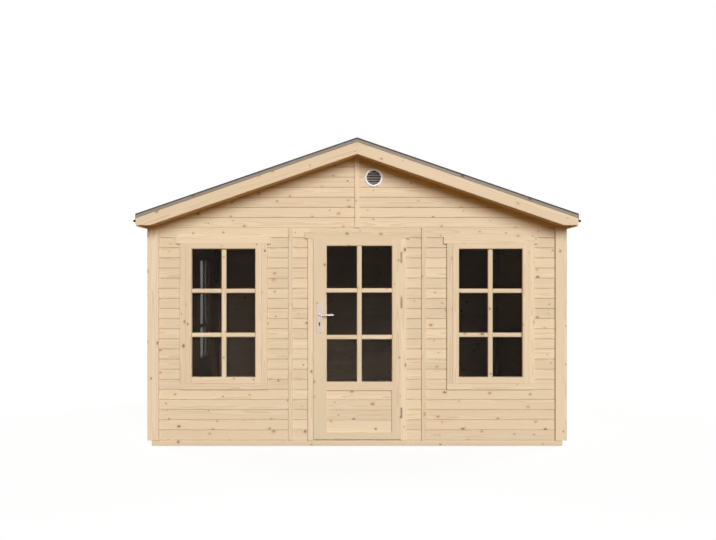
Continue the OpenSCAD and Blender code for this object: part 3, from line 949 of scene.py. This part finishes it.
def set_piece(
    name: str, mesh: bpy.types.Mesh, finish: Finish, slot: Slot, body: Body, *replaced: str
) -> None:
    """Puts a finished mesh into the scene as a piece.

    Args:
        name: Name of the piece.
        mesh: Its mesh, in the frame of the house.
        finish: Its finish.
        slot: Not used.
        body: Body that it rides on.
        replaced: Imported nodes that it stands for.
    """
    mesh.materials.append(finish.material())
    piece = bpy.data.objects.new(name, mesh)
    bpy.context.scene.collection.objects.link(piece)
    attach(piece, body.value)
    if replaced:
        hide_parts(*replaced)
    LOG.info("%s: %d faces on %s", name, len(mesh.polygons), body.value)


def set_solid(
    name: str, solid: Solid, finish: Finish, slot: Slot, body: Body, *replaced: str
) -> None:
    """Puts a finished solid into the scene as a piece, and frees it.

    Args:
        name: Name of the piece.
        solid: Its solid, in the frame of the house.
        finish: Its finish.
        slot: Slot of the record that the finish belongs to.
        body: Body that it rides on.
        replaced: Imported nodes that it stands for.
    """
    mesh = bpy.data.meshes.new(name)
    solid.to_mesh(mesh)
    solid.free()
    set_piece(name, mesh, finish, slot, body, *replaced)


def dress_node(node: str, finish: Finish) -> None:
    """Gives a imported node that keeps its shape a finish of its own."""
    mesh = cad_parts[node].data
    mesh.materials.clear()
    mesh.materials.append(finish.material())
    LOG.info("%s: kept, %s", node, finish.name)


@dataclass(frozen=True)
class Boarding:
    """How a panel is laid in boards: which way they stack, which face shows, and their joints."""

    stack: Vector
    face: Vector
    start: float
    cover: float
    gap: float = 0.0026
    chamfer: float = 0.0036
    skin: float = 0.009
    back_chamfer: float = 0.0020
    least: float = 0.030

    def saw(self, panel: Solid, piece: TimberPiece) -> None:
        """Saws a panel into boards with a groove between them.

        Args:
            panel: The whole panel, which is freed.
            piece: Where the boards go.
        """
        run = self.stack.cross(self.face).normalized()
        low, high = Joinery.span(panel, self.stack)
        back, front = Joinery.span(panel, self.face)
        first = math.floor((low - self.start) / self.cover)
        last = math.ceil((high - self.start) / self.cover)
        joints = [self.start + course * self.cover for course in range(first, last)]
        joints = [joint for joint in joints if low + self.least < joint < high - self.least]
        joints = [low, *joints, high]
        for bottom, top in zip(joints, joints[1:]):
            board = Joinery.trim(panel, self.stack, bottom, top)
            if board is None:
                continue
            figure = Figure.of(board, piece.chance, run)
            rebate_low = self.gap / 2 if bottom > low else 0.0
            rebate_high = self.gap / 2 if top < high else 0.0
            outer = Joinery.trim(board, self.face, front - self.skin, front)
            if outer is not None:
                skin = Joinery.trim(outer, self.stack, bottom + rebate_low, top - rebate_high)
                outer.free()
                if skin is not None:
                    Joinery.ease(skin, self.chamfer, 1, self.long_edges(skin, self.face, run))
                    piece.add(skin, figure)
            inner = Joinery.trim(board, self.face, back, front - self.skin)
            if inner is not None:
                Joinery.ease(inner, self.back_chamfer, 1, self.long_edges(inner, -self.face, run))
                piece.add(inner, figure)
            board.free()
        panel.free()

    @staticmethod
    def long_edges(board: Solid, face: Vector, run: Vector) -> EdgeTest:
        """Finds the long edges on one face of a board.

        Args:
            board: The board.
            face: Direction that the face looks in.
            run: Direction that the board runs in.

        Returns:
            A test for an edge of the board.
        """
        level = Joinery.span(board, face)[1]

        def test(edge: Edge) -> bool:
            """Says whether an edge lies on the face and runs along the board."""
            on_face = all(vert.co.dot(face) >= level - TOUCH for vert in edge.verts)
            return on_face and runs_along(edge, run)

        return test


@dataclass(frozen=True)
class Walls:
    """Boarded walls and gables of the house."""

    cover: float = 0.087

    def build(self) -> None:
        """Saws each wall and gable into its boards."""
        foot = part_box("back_wall")[0].z
        for node, face in (
            ("front_wall_left", -Y_AXIS),
            ("front_wall_right", -Y_AXIS),
            ("front_wall_beside_door", -Y_AXIS),
            ("front_wall_over_door", -Y_AXIS),
            ("front_gable", -Y_AXIS),
            ("left_wall", -X_AXIS),
            ("right_wall", X_AXIS),
            ("back_wall", Y_AXIS),
            ("back_gable", Y_AXIS),
        ):
            piece = TimberPiece(node + "_boards")
            boarding = Boarding(Z_AXIS, face, foot, self.cover)
            for panel in Joinery.solids(node):
                boarding.saw(panel, piece)
            piece.place(PLANED, Slot.WOOD, Body.HOUSE, node)


@dataclass(frozen=True)
class Carcass:
    """Planed timbers that keep the shape of their solids, from the base to the roof."""

    edge: float = 0.0030
    fine_edge: float = 0.0010
    panel_bevel: float = 0.0070

    def build(self) -> None:
        """Eases the edges of each timber and lays its grain."""
        for node in (
            "base_beams_front_back",
            "base_beams_sides",
            "corner_boards_front_back",
            "corner_boards_sides",
            "cover_strips",
            "bargeboards",
            "fascias",
            "door_jambs",
            "door_head",
            "threshold",
            "side_trims",
            "head_trims",
            "window_sill_trims",
        ):
            self.dress(node, PLANED, Slot.WOOD, Body.HOUSE, self.edge)
        # The soffits take the darker soffit spruce, whose colour is painted shade.
        for node in ("verge_soffits", "eave_soffits"):
            self.dress(node, SOFFIT_PAINTED_SHADE, Slot.WOOD, Body.HOUSE, self.edge)
        # Timbers inside take the darker inner spruce, whose colour is painted shade.
        for node in ("floor_joists", "wall_posts", "roof_purlins"):
            self.dress(node, INDOOR_PAINTED_SHADE, Slot.INNER_WOOD, Body.HOUSE, self.edge)
        self.dress("verge_strips", STAINED, Slot.VERGE, Body.HOUSE, self.edge)
        for node in ("window_stiles", "window_rails"):
            self.dress_sash(node, "window_glass")
        self.dress("door_stiles", PLANED, Slot.WOOD, Body.DOOR, self.fine_edge)
        self.dress_door_rails()

    @staticmethod
    def with_grain(figure: Figure) -> EdgeTest:
        """Makes a test for the edges that run with the grain of a timber."""
        return lambda edge: runs_along(edge, figure.along)

    def dress_sash(self, node: str, glass: str) -> None:
        """Makes the window frames, with a clear line round the outside and fine edges at the panes.

        Args:
            node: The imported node.
            glass: The node of the glass that the frames hold.
        """
        piece = TimberPiece(node + "_planed")
        panes = [(low + high) / 2 for low, high in Joinery.boxes(glass)]
        for solid in Joinery.solids(node):
            figure = Figure.of(solid, piece.chance)
            middle = Joinery.middle(solid)
            away = middle - min(panes, key=lambda pane: (pane - middle).length)
            away -= figure.along * away.dot(figure.along)
            runs = self.with_grain(figure)
            for width, side in ((self.edge, away), (self.fine_edge, -away)):
                Joinery.ease(
                    solid,
                    width,
                    wanted=lambda edge: runs(edge) and (edge.verts[0].co - middle).dot(side) > 0.0,
                )
            piece.add(solid, figure)
        piece.place(PLANED, Slot.WOOD, Body.HOUSE, node)

    def dress_door_rails(self) -> None:
        """Makes the rails of the door, the middle one with a bevel over the panel."""
        piece = TimberPiece("door_rails_planed")
        panel_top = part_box("door_panel")[1].z
        for solid in Joinery.solids("door_rails"):
            figure = Figure.of(solid, piece.chance)
            runs = self.with_grain(figure)
            low, high = Joinery.box(solid)
            foot, front = low.z + TOUCH, low.y + TOUCH
            Joinery.ease(
                solid,
                self.fine_edge,
                wanted=lambda edge: runs(edge) and edge.verts[0].co.z > foot,
            )
            if low.z < panel_top < high.z:
                Joinery.ease(
                    solid,
                    self.panel_bevel,
                    1,
                    lambda edge: all(v.co.z < foot and v.co.y < front for v in edge.verts),
                )
            piece.add(solid, figure)
        piece.place(PLANED, Slot.WOOD, Body.DOOR, "door_rails")

    def dress(self, node: str, finish: TimberFinish, slot: Slot, body: Body, edge: float) -> None:
        """Makes the timbers of one node.

        Args:
            node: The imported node.
            finish: Finish of its timbers.
            slot: Slot of the record.
            body: Body that they ride on.
            edge: Width of their eased edges.
        """
        piece = TimberPiece(node + "_planed")
        for solid in Joinery.solids(node):
            figure = Figure.of(solid, piece.chance)
            Joinery.ease(solid, edge, 2, self.with_grain(figure))
            piece.add(solid, figure)
        piece.place(finish, slot, body, node)


@dataclass(frozen=True)
class FloorAndDeck:
    """Floor boards and the boards under the roofing."""

    floor_cover: float = 0.096
    floor_gap: float = 0.001
    floor_chamfer: float = 0.001
    floor_skin: float = 0.004
    deck_cover: float = 0.096
    deck_skin: float = 0.006

    def build(self) -> None:
        """Saws the floor and the two slopes of the roof into boards."""
        floor = TimberPiece("floor_boards_laid")
        for panel in Joinery.solids("floor_boards"):
            low, _ = Joinery.box(panel)
            boarding = Boarding(
                Y_AXIS,
                Z_AXIS,
                low.y,
                self.floor_cover,
                gap=self.floor_gap,
                chamfer=self.floor_chamfer,
                skin=self.floor_skin,
            )
            boarding.saw(panel, floor)
        # Floor boards take the darker inner spruce, whose colour is painted shade.
        floor.place(INDOOR_PAINTED_SHADE, Slot.INNER_WOOD, Body.HOUSE, "floor_boards")
        deck = TimberPiece("roof_boards_laid")
        for panel in Joinery.solids("roof_boards"):
            edge = max(
                panel.edges,
                key=lambda e: round(abs(e.verts[0].co.x - e.verts[1].co.x), DIGITS),
            )
            fall = (edge.verts[1].co - edge.verts[0].co).normalized()
            fall = fall if fall.z < 0 else -fall
            under = fall.cross(Y_AXIS).normalized()
            under = under if under.z < 0 else -under
            start = Joinery.span(panel, fall)[0]
            Boarding(fall, under, start, self.deck_cover, skin=self.deck_skin).saw(panel, deck)
        # The deck seen from inside takes the darker inner spruce, whose colour is painted shade.
        deck.place(INDOOR_PAINTED_SHADE, Slot.INNER_WOOD, Body.HOUSE, "roof_boards")


@dataclass(frozen=True)
class GlazingBars:
    """Bars that divide the glass of the windows and of the door into six panes."""

    width: float = 0.042
    cross_width: float = 0.038
    seat: float = 0.008
    rise: float = 0.013
    set_back: float = 0.002
    bevel: float = 0.006
    bevel_share: float = 0.6
    round_across: float = 0.55
    round_down: float = 0.28
    rows: int = 3

    def build(self) -> None:
        """Sets bars on both faces of each sheet of glass."""
        for name, glass, stiles, body in (
            ("window_bars", "window_glass", "window_stiles", Body.HOUSE),
            ("door_bars", "door_glass", "door_stiles", Body.DOOR),
        ):
            piece = TimberPiece(name)
            boxes = Joinery.boxes(stiles)
            for low, high in Joinery.boxes(glass):
                middle = (low + high) / 2
                stile = min(boxes, key=lambda box: ((box[0] + box[1]) / 2 - middle).length)
                self.divide(low, high, stile, piece)
            piece.place(PLANED, Slot.WOOD, body)

    def divide(
        self, low: Vector, high: Vector, stile: tuple[Vector, Vector], piece: TimberPiece
    ) -> None:
        """Sets the bars of one sheet.

        Args:
            low: Lowest corner of the glass.
            high: Highest corner of the glass.
            stile: Box of a stile beside the glass.
            piece: Where the bars go.
        """
        size = high - low
        out = X_AXIS if size.x < size.y else Y_AXIS
        run = Y_AXIS if size.x < size.y else X_AXIS
        glass = size.dot(out)
        mid = (low + high) / 2
        half_w = size.dot(run) / 2 - self.seat
        half_h = size.z / 2 - self.seat
        clear = (2 * half_h - (self.rows - 1) * self.cross_width) / self.rows
        for way in (-1.0, 1.0):
            face = mid + out * way * glass / 2
            room = max((corner - face).dot(out * way) for corner in stile)
            rise = min(self.rise, room - self.set_back)
            foot, head = face - Z_AXIS * half_h, face + Z_AXIS * half_h
            self.bar(foot, head, run, out * way, self.width, rise, piece)
            for row in range(1, self.rows):
                level = Z_AXIS * (-half_h + row * clear + (row - 0.5) * self.cross_width)
                for side in (-1.0, 1.0):
                    self.bar(
                        face + level + run * side * self.width / 2,
                        face + level + run * side * half_w,
                        Z_AXIS,
                        out * way,
                        self.cross_width,
                        rise,
                        piece,
                    )

    def bar(
        self,
        start: Vector,
        end: Vector,
        side: Vector,
        out: Vector,
        width: float,
        rise: float,
        piece: TimberPiece,
    ) -> None:
        """Makes one bar, bevelled towards the glass on both sides.

        Args:
            start: Middle of the bar's foot at one end.
            end: The same at the other end.
            side: Direction across the bar.
            out: Direction away from the glass.
            width: Width of the bar.
            rise: Height of the bar above the glass.
            piece: Where the bar goes.
        """
        half = width / 2
        bevel = min(self.bevel, rise * self.bevel_share)
        flank = [
            (half, 0.0),
            (half, rise - bevel),
            (half - bevel * self.round_across, rise - bevel * self.round_down),
            (half - bevel, rise),
        ]
        profile = [(-across, height) for across, height in flank] + flank[::-1]
        solid = bmesh.new()
        rings = [
            [solid.verts.new(place + side * across + out * height) for across, height in profile]
            for place in (start, end)
        ]
        count = len(profile)
        for i in range(count):
            j = (i + 1) % count
            solid.faces.new((rings[0][i], rings[0][j], rings[1][j], rings[1][i]))
        for ring in rings:
            solid.faces.new(ring)
        bmesh.ops.recalc_face_normals(solid, faces=solid.faces)
        piece.add(solid, Figure.of(solid, piece.chance, (end - start).normalized()))


@dataclass(frozen=True)
class DoorPanel:
    """Boards in the lower part of the door, in line with the boards of the wall."""

    cover: float = 0.087
    skin: float = 0.007

    def build(self) -> None:
        """Saws the panel into boards."""
        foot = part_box("back_wall")[0].z
        piece = TimberPiece("door_panel_boards")
        for panel in Joinery.solids("door_panel"):
            Boarding(Z_AXIS, -Y_AXIS, foot, self.cover, skin=self.skin).saw(panel, piece)
        piece.place(PLANED, Slot.WOOD, Body.DOOR, "door_panel")


@dataclass(frozen=True)
class Roofing:
    """Mineral felt in lapped strips, with its ridge cap and drip edges."""

    sheet: float = 0.0022
    under_share: float = 0.8
    strips: int = 3
    lap: float = 0.085
    columns: int = 72
    rows: int = 7
    ripple: float = 0.0006
    lap_step: float = 0.0004
    lap_waver: float = 0.003
    ridge_gap: float = 0.0003
    verge_rise: float = 0.8
    verge_drop: float = 0.011

    def build(self) -> None:
        """Lays the strips of both slopes, and dresses the cap and the drip edges."""
        packed = [vert.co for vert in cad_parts["roof_felt"].data.vertices]
        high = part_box("roof_felt")[1]
        lip = high.y - min(round(place.y, DIGITS) for place in packed if place.y > 0)
        deck_end = high.y - lip
        ridge = Vector((0.0, 0.0, high.z))
        eave = [place.z for place in packed if place.x > high.x - TOUCH]
        run = Vector((high.x, 0.0, max(eave))) - ridge
        thick = self.thickness(eave, run)
        mesh = bmesh.new()
        chance = random.Random("felt")
        for side in (-1.0, 1.0):
            fall = Vector((run.x * side, 0.0, run.z)).normalized()
            up = Y_AXIS.cross(fall)
            up = up if up.z > 0 else -up
            length = run.length
            clear = (length + (self.strips - 1) * self.lap) / self.strips
            for strip in range(self.strips):
                bottom = length - strip * (clear - self.lap)
                top = bottom - clear
                turned = lip - self.lap_step * (self.strips - 1 - strip)
                self.lay(
                    mesh,
                    ridge,
                    fall,
                    up,
                    max(top, self.ridge_gap),
                    bottom,
                    thick,
                    deck_end,
                    turned,
                    strip > 0,
                    chance,
                )
        set_solid("felt_strips", mesh, FELT, Slot.FELT, Body.HOUSE, "roof_felt")
        dress_node("ridge_cap", FELT)
        dress_node("drip_edges", DRIP_METAL)

    @staticmethod
    def thickness(eave: Sequence[float], run: Vector) -> float:
        """Height of the felt square to the slope, from its levels at the eaves."""
        inner = sorted({round(level, DIGITS) for level in eave})[-2]
        return (max(eave) - inner) * math.cos(math.atan(run.z / run.x))

    @staticmethod
    def on_slope(fall: Vector, up: Vector, top: float, down: float, lift: float) -> Vector:
        """Place on a strip whose upper edge is cut plumb, so that both slopes meet."""
        return fall * max(down, top - lift * up.x / fall.x) + up * lift

    def lay(
        self,
        mesh: Solid,
        ridge: Vector,
        fall: Vector,
        up: Vector,
        top: float,
        bottom: float,
        thick: float,
        deck_end: float,
        lip: float,
        lapped: bool,
        chance: random.Random,
    ) -> None:
        """Lays one strip along the house, turned down at both verges.

        Args:
            mesh: Where the strip goes.
            ridge: Highest point of the felt.
            fall: Direction down the slope.
            up: Direction square to the slope.
            top: Distance of the strip's upper edge from the ridge.
            bottom: Distance of its lower edge.
            thick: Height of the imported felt.
            deck_end: Half the length of the deck.
            lip: Thickness of the turned-down edge.
            lapped: Whether the lower edge lies on another strip.
            chance: Source of the small unevenness.
        """
        step = 2 * deck_end / self.columns
        stations = [(-deck_end - lip, -self.verge_drop), (-deck_end - lip, 0.0)]
        stations += [(-deck_end + step * i, 0.0) for i in range(self.columns + 1)]
        stations += [(deck_end + lip, 0.0), (deck_end + lip, -self.verge_drop)]
        upper, lower = [], []
        for row in range(self.rows + 1):
            share = row / self.rows
            upper.append([])
            lower.append([])
            for y, hang in stations:
                inner = abs(y) <= deck_end + TOUCH
                edge = row in (0, self.rows)
                down = top + (bottom - top) * share
                if row == self.rows and lapped and inner:
                    down += chance.uniform(-self.lap_waver, self.lap_waver)
                lift = self.verge_rise * thick
                if inner:
                    lift = self.sheet * (1.0 + share if lapped else 1.0)
                if inner and not edge:
                    lift += chance.uniform(-self.ripple, self.ripple)
                height = min(lift, thick) - thick
                outer = self.on_slope(fall, up, top, down, height + hang)
                depth = hang or -self.sheet * self.under_share
                under = self.on_slope(fall, up, top, down, height + depth)
                held = max(-deck_end, min(deck_end, y))
                upper[-1].append(mesh.verts.new(ridge + outer + Y_AXIS * y))
                lower[-1].append(mesh.verts.new(ridge + under + Y_AXIS * held))
        wide = len(stations) - 1
        faces = []
        for row in range(self.rows):
            over, over_next = upper[row], upper[row + 1]
            below, below_next = lower[row], lower[row + 1]
            for i in range(wide):
                faces.append((over[i], over[i + 1], over_next[i + 1], over_next[i]))
                faces.append((below[i], below_next[i], below_next[i + 1], below[i + 1]))
            for i in (0, wide):
                faces.append((over[i], over_next[i], below_next[i], below[i]))
        for row in (0, self.rows):
            for i in range(wide):
                faces.append((upper[row][i], lower[row][i], lower[row][i + 1], upper[row][i + 1]))
        made = [mesh.faces.new(face) for face in faces]
        bmesh.ops.recalc_face_normals(mesh, faces=made)


@dataclass(frozen=True)
class Fittings:
    """Glass, vent, hinges and handle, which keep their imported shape."""

    def build(self) -> None:
        """Gives each fitting its finish."""
        for node, finish in (
            ("window_glass", PANE_PAINTED_SHADE),
            ("door_glass", PANE_PAINTED_SHADE),
            ("vent_ring", WHITE_PLASTIC),
            ("vent_louvres", GREY_PLASTIC),
            ("hinge_frame_parts", ZINC),
            ("hinge_door_parts", ZINC),
            ("handle_plates", SATIN),
            ("door_lever", SATIN),
        ):
            dress_node(node, finish)


@dataclass(frozen=True)
class LockSet:
    """Screws of the handle plates, dark sheets of painted shade in their keyholes, and the lock's
    faceplate.
    """

    screw_r: float = 0.0036
    screw_rise: float = 0.0012
    screw_slot: float = 0.0010
    screw_in: float = 0.0130
    screw_taper: float = 0.20
    key_zone: float = 0.4
    shade_sheet: float = 0.0004
    shade_sheet_reach: float = 0.6
    shade_sheet_taper: float = 0.02
    face_w: float = 0.0200
    face_h: float = 0.2100
    face_t: float = 0.0008
    face_drop: float = 0.0450
    face_taper: float = 0.01
    bolt_w: float = 0.0120
    bolt_h: float = 0.0300
    bolt_taper: float = 0.06
    rim_share: float = 0.6
    sides: int = 14

    def build(self) -> None:
        """Makes the small parts of the lock and sets them on the door."""
        bright, keyhole_shade = bmesh.new(), bmesh.new()
        lever_z = sum(corner.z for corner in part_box("door_lever")) / 2
        stile = min(Joinery.solids("door_stiles"), key=lambda solid: Joinery.middle(solid).x)
        key_z = lever_z
        for plate in Joinery.solids("handle_plates"):
            out = -Y_AXIS if Joinery.middle(plate).y < Joinery.middle(stile).y else Y_AXIS
            key_z = self.fit_plate(plate, out, lever_z, bright, keyhole_shade)
            plate.free()
        self.fit_edge(stile, lever_z, key_z, bright)
        stile.free()
        for name, mesh, finish, slot in (
            ("lock_screws_and_faceplate", bright, SATIN, Slot.HANDLE_STEEL),
            # The keyholes' dark sheets are painted shade.
            ("keyhole_painted_shade", keyhole_shade, DRIP_METAL, Slot.HINGE_STEEL),
        ):
            bmesh.ops.recalc_face_normals(mesh, faces=mesh.faces)
            set_solid(name, mesh, finish, slot, Body.DOOR)

    def fit_plate(
        self,
        plate: Solid,
        out: Vector,
        lever_z: float,
        bright: Solid,
        keyhole_shade: Solid,
    ) -> float:
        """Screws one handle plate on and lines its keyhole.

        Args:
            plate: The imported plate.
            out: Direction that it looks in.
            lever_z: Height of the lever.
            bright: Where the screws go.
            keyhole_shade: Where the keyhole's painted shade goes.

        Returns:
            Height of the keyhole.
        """
        low, high = Joinery.box(plate)
        middle = (low + high) / 2
        face = Joinery.span(plate, out)[1]
        for level in (low.z + self.screw_in, high.z - self.screw_in):
            self.screw(bright, Vector((middle.x, out.y * face, level)), X_AXIS, Z_AXIS, out)
        hole = [
            vert.co
            for vert in plate.verts
            if abs(vert.co.x - middle.x) < self.key_zone * (high.x - middle.x)
            and low.z + 2 * self.screw_in < vert.co.z < lever_z - 2 * self.screw_in
        ]
        left, right = min(c.x for c in hole), max(c.x for c in hole)
        foot, head = min(c.z for c in hole), max(c.z for c in hole)
        # A dark sheet at the back of the keyhole stands in for the shade inside the lock: painted
        # shade.
        back = -out.y * Joinery.span(plate, -out)[1]
        seat = Vector(((left + right) / 2, back, (foot + head) / 2))
        half_w, half_h = (right - left) * self.shade_sheet_reach, (head - foot) * self.shade_sheet_reach
        outline = self.round_ended(seat, X_AXIS, Z_AXIS, half_w, half_h)
        self.raise_shape(keyhole_shade, outline, out, self.shade_sheet, self.shade_sheet_taper)
        return seat.z

    def fit_edge(
        self, stile: Solid, lever_z: float, key_z: float, bright: Solid
    ) -> None:
        """Lets the lock's faceplate into the edge of the lock stile.

        Args:
            stile: The lock stile.
            lever_z: Height of the lever.
            key_z: Height of the keyhole.
            bright: Where the faceplate goes.
        """
        low, high = Joinery.box(stile)
        edge = min(vert.co.x for vert in stile.verts if vert.co.y > high.y - TOUCH)
        lip_back = max(vert.co.y for vert in stile.verts if vert.co.x < low.x + TOUCH)
        middle = Vector((edge, (lip_back + high.y) / 2, lever_z - self.face_drop))
        half_w, half_h = self.face_w / 2, self.face_h / 2
        outline = self.round_ended(middle, Y_AXIS, Z_AXIS, half_w, half_h)
        self.raise_shape(bright, outline, -X_AXIS, self.face_t, self.face_taper)
        top = middle - X_AXIS * self.face_t
        for reach in (-1.0, 1.0):
            place = top + Z_AXIS * reach * (half_h - half_w)
            self.screw(bright, place, Y_AXIS, Z_AXIS, -X_AXIS)
        for level in (lever_z, key_z):
            outline = [
                Vector((top.x, top.y + across * self.bolt_w / 2, level + up * self.bolt_h / 2))
                for across, up in SQUARE
            ]
            self.raise_shape(bright, outline, -X_AXIS, self.face_t, self.bolt_taper)

    def screw(
        self, mesh: Solid, place: Vector, side: Vector, up: Vector, out: Vector
    ) -> None:
        """Adds a slotted screw head, as two half-rounds with the slot between them.

        Args:
            mesh: Where the head goes.
            place: Middle of its foot.
            side: Direction of the slot.
            up: Direction across the slot.
            out: Direction that the head looks in.
        """
        start = math.asin(self.screw_slot / 2 / self.screw_r)
        turns = [start + (math.pi - 2 * start) * i / self.sides for i in range(self.sides + 1)]
        for way in (-1.0, 1.0):
            outline = [
                place + (side * math.cos(turn) + up * math.sin(turn) * way) * self.screw_r
                for turn in turns
            ]
            self.raise_shape(mesh, outline, out, self.screw_rise, self.screw_taper)

    def round_ended(
        self, middle: Vector, side: Vector, up: Vector, half_w: float, half_h: float
    ) -> list[Vector]:
        """Draws a strip with round ends.

        Args:
            middle: Middle of the strip.
            side: Direction across it.
            up: Direction along it.
            half_w: Half its width.
            half_h: Half its length.

        Returns:
            The corners of its outline in order.
        """
        outline = []
        for way in (1.0, -1.0):
            for i in range(self.sides + 1):
                turn = math.pi * i / self.sides
                reach = math.sin(turn) * half_w + half_h - half_w
                outline.append(middle + (side * math.cos(turn) * half_w + up * reach) * way)
        return outline

    def raise_shape(
        self,
        mesh: Solid,
        outline: Sequence[Vector],
        out: Vector,
        rise: float,
        taper: float,
    ) -> None:
        """Raises an outline into a plate with a bevelled rim.

        Args:
            mesh: Where the plate goes.
            outline: Corners of its foot in order.
            out: Direction that it rises in.
            rise: Its height.
            taper: Share by which its top is smaller than its foot.
        """
        middle = sum(outline, Vector()) / len(outline)
        rings = [
            [
                mesh.verts.new(middle + (corner - middle) * share + out * height)
                for corner in outline
            ]
            for share, height in ((1.0, 0.0), (1.0, rise * self.rim_share), (1.0 - taper, rise))
        ]
        for lower, upper in zip(rings, rings[1:]):
            for i in range(len(outline)):
                mesh.faces.new((lower[i - 1], lower[i], upper[i], upper[i - 1]))
        mesh.faces.new(rings[0])
        mesh.faces.new(rings[-1])


@dataclass(frozen=True)
class Studio:
    """Floor, light and camera."""

    picture: tuple[float, float] = (716.0, 540.0)
    metres_per_pixel: float = 0.0086
    distance: float = 6.84
    eye: float = 1.44
    middle: tuple[float, float] = (357.1, 278.3)
    sensor: float = 36.0
    far: float = 200.0
    ambient: float = 0.175
    warmth: Colour = (1.0, 0.55, 0.20, 1.0)
    key: float = 3.02
    key_from: tuple[float, float, float] = (0.22, -1.0, 0.36)
    fill: float = 2.25
    fill_from: tuple[float, float, float] = (0.85, 0.62, 0.45)
    spread: float = 30.0
    daylight: tuple[float, float, float] = (0.860, 0.935, 1.0)
    floor_grey: Colour = (0.10, 0.10, 0.10, 1.0)
    floor_bounce: Colour = (0.25, 0.14, 0.03, 1.0)
    floor_glow: float = 0.92
    floor_reach: float = 60.0
    floor_drop: float = 0.0005

    def build(self) -> None:
        """Sets up all that stands round the house."""
        self.set_camera()
        self.set_world()
        self.set_floor()
        across, along, up = self.fill_from
        self.set_lamp("key", self.key, self.key_from)
        self.set_lamp("fill_right", self.fill, (across, along, up))
        self.set_lamp("fill_left", self.fill, (-across, along, up))
        bpy.context.scene.view_settings.view_transform = "Standard"

    def set_camera(self) -> None:
        """Sets the camera level, straight in front of the house."""
        data = bpy.data.cameras.new("front_view")
        data.sensor_fit = "HORIZONTAL"
        data.sensor_width = self.sensor
        wide, tall = self.picture
        data.lens = self.distance / self.metres_per_pixel * self.sensor / wide
        data.shift_x = (wide / 2 - self.middle[0]) / wide
        data.shift_y = (self.middle[1] - tall / 2) / wide
        data.clip_end = self.far
        camera = bpy.data.objects.new("front_view", data)
        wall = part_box("front_wall_left")[0].y
        camera.location = (0.0, wall - self.distance, self.eye)
        camera.rotation_euler = (math.radians(90.0), 0.0, 0.0)
        bpy.context.scene.collection.objects.link(camera)
        bpy.context.scene.camera = camera

    @staticmethod
    def seen(graph: Graph) -> Socket:
        """1 for what the camera sees, directly or in metal and glass, and 0 for other light."""
        path = graph.add("LightPath")
        seen = graph.maths("MAXIMUM", path.outputs["Is Camera Ray"], path.outputs["Is Glossy Ray"])
        seen = graph.maths("MAXIMUM", seen, path.outputs["Is Transmission Ray"])
        direct = graph.maths("LESS_THAN", path.outputs["Diffuse Depth"], 0.5)
        return graph.maths("MULTIPLY", seen, direct)

    def set_world(self) -> None:
        """Makes a white background and an even light from the sky."""
        world = bpy.data.worlds.new("studio")
        world.use_nodes = True
        world.node_tree.nodes.clear()
        graph = Graph(world.node_tree)
        white = graph.add("Background")
        sky = graph.add("Background")
        sky.inputs["Color"].default_value = self.warmth
        sky.inputs["Strength"].default_value = self.ambient
        white.inputs["Color"].default_value = (1.0, 1.0, 1.0, 1.0)
        mix = graph.add("MixShader")
        graph.feed(mix.inputs[0], self.seen(graph))
        graph.feed(mix.inputs[1], sky.outputs[0])
        graph.feed(mix.inputs[2], white.outputs[0])
        graph.feed(graph.add("OutputWorld").inputs["Surface"], mix.outputs[0])
        bpy.context.scene.world = world

    def set_floor(self) -> None:
        """Lays a pale floor that keeps the shadow of the house."""
        mesh = bpy.data.meshes.new("floor")
        corners = [(x * self.floor_reach, y * self.floor_reach, 0.0) for x, y in SQUARE]
        mesh.from_pydata(corners, [], [(0, 1, 2, 3)])
        material = bpy.data.materials.new("pale_floor")
        material.use_nodes = True
        material.node_tree.nodes.clear()
        graph = Graph(material.node_tree)
        matt = graph.add("BsdfDiffuse")
        seen = self.seen(graph)
        graph.feed(matt.inputs["Color"], graph.blend(seen, self.floor_bounce, self.floor_grey))
        glow = graph.add("Emission")
        graph.feed(glow.inputs["Strength"], graph.maths("MULTIPLY", seen, self.floor_glow))
        both = graph.add("AddShader")
        graph.feed(both.inputs[0], matt.outputs[0])
        graph.feed(both.inputs[1], glow.outputs[0])
        graph.feed(graph.add("OutputMaterial").inputs["Surface"], both.outputs[0])
        mesh.materials.append(material)
        floor = bpy.data.objects.new("floor", mesh)
        floor.location.z = -self.floor_drop
        bpy.context.scene.collection.objects.link(floor)

    def set_lamp(self, name: str, energy: float, direction: Sequence[float]) -> None:
        """Hangs a broad soft light.

        Args:
            name: Name of the lamp.
            energy: Its strength.
            direction: Where the light comes from.
        """
        data = bpy.data.lights.new(name, "SUN")
        data.energy = energy
        data.angle = math.radians(self.spread)
        data.color = self.daylight
        lamp = bpy.data.objects.new(name, data)
        lamp.rotation_euler = Vector(direction).to_track_quat("Z", "Y").to_euler()
        bpy.context.scene.collection.objects.link(lamp)


def main() -> None:
    """Builds the sub-assemblies in order, then the studio."""
    logging.basicConfig(level=logging.INFO, format="%(name)s: %(message)s")
    parts = (
        Walls(),
        Carcass(),
        FloorAndDeck(),
        DoorPanel(),
        GlazingBars(),
        Roofing(),
        Fittings(),
        LockSet(),
        Studio(),
    )
    for part in parts:
        part.build()
        LOG.info("%s built", type(part).__name__)


if __name__ == "__main__":
    main()
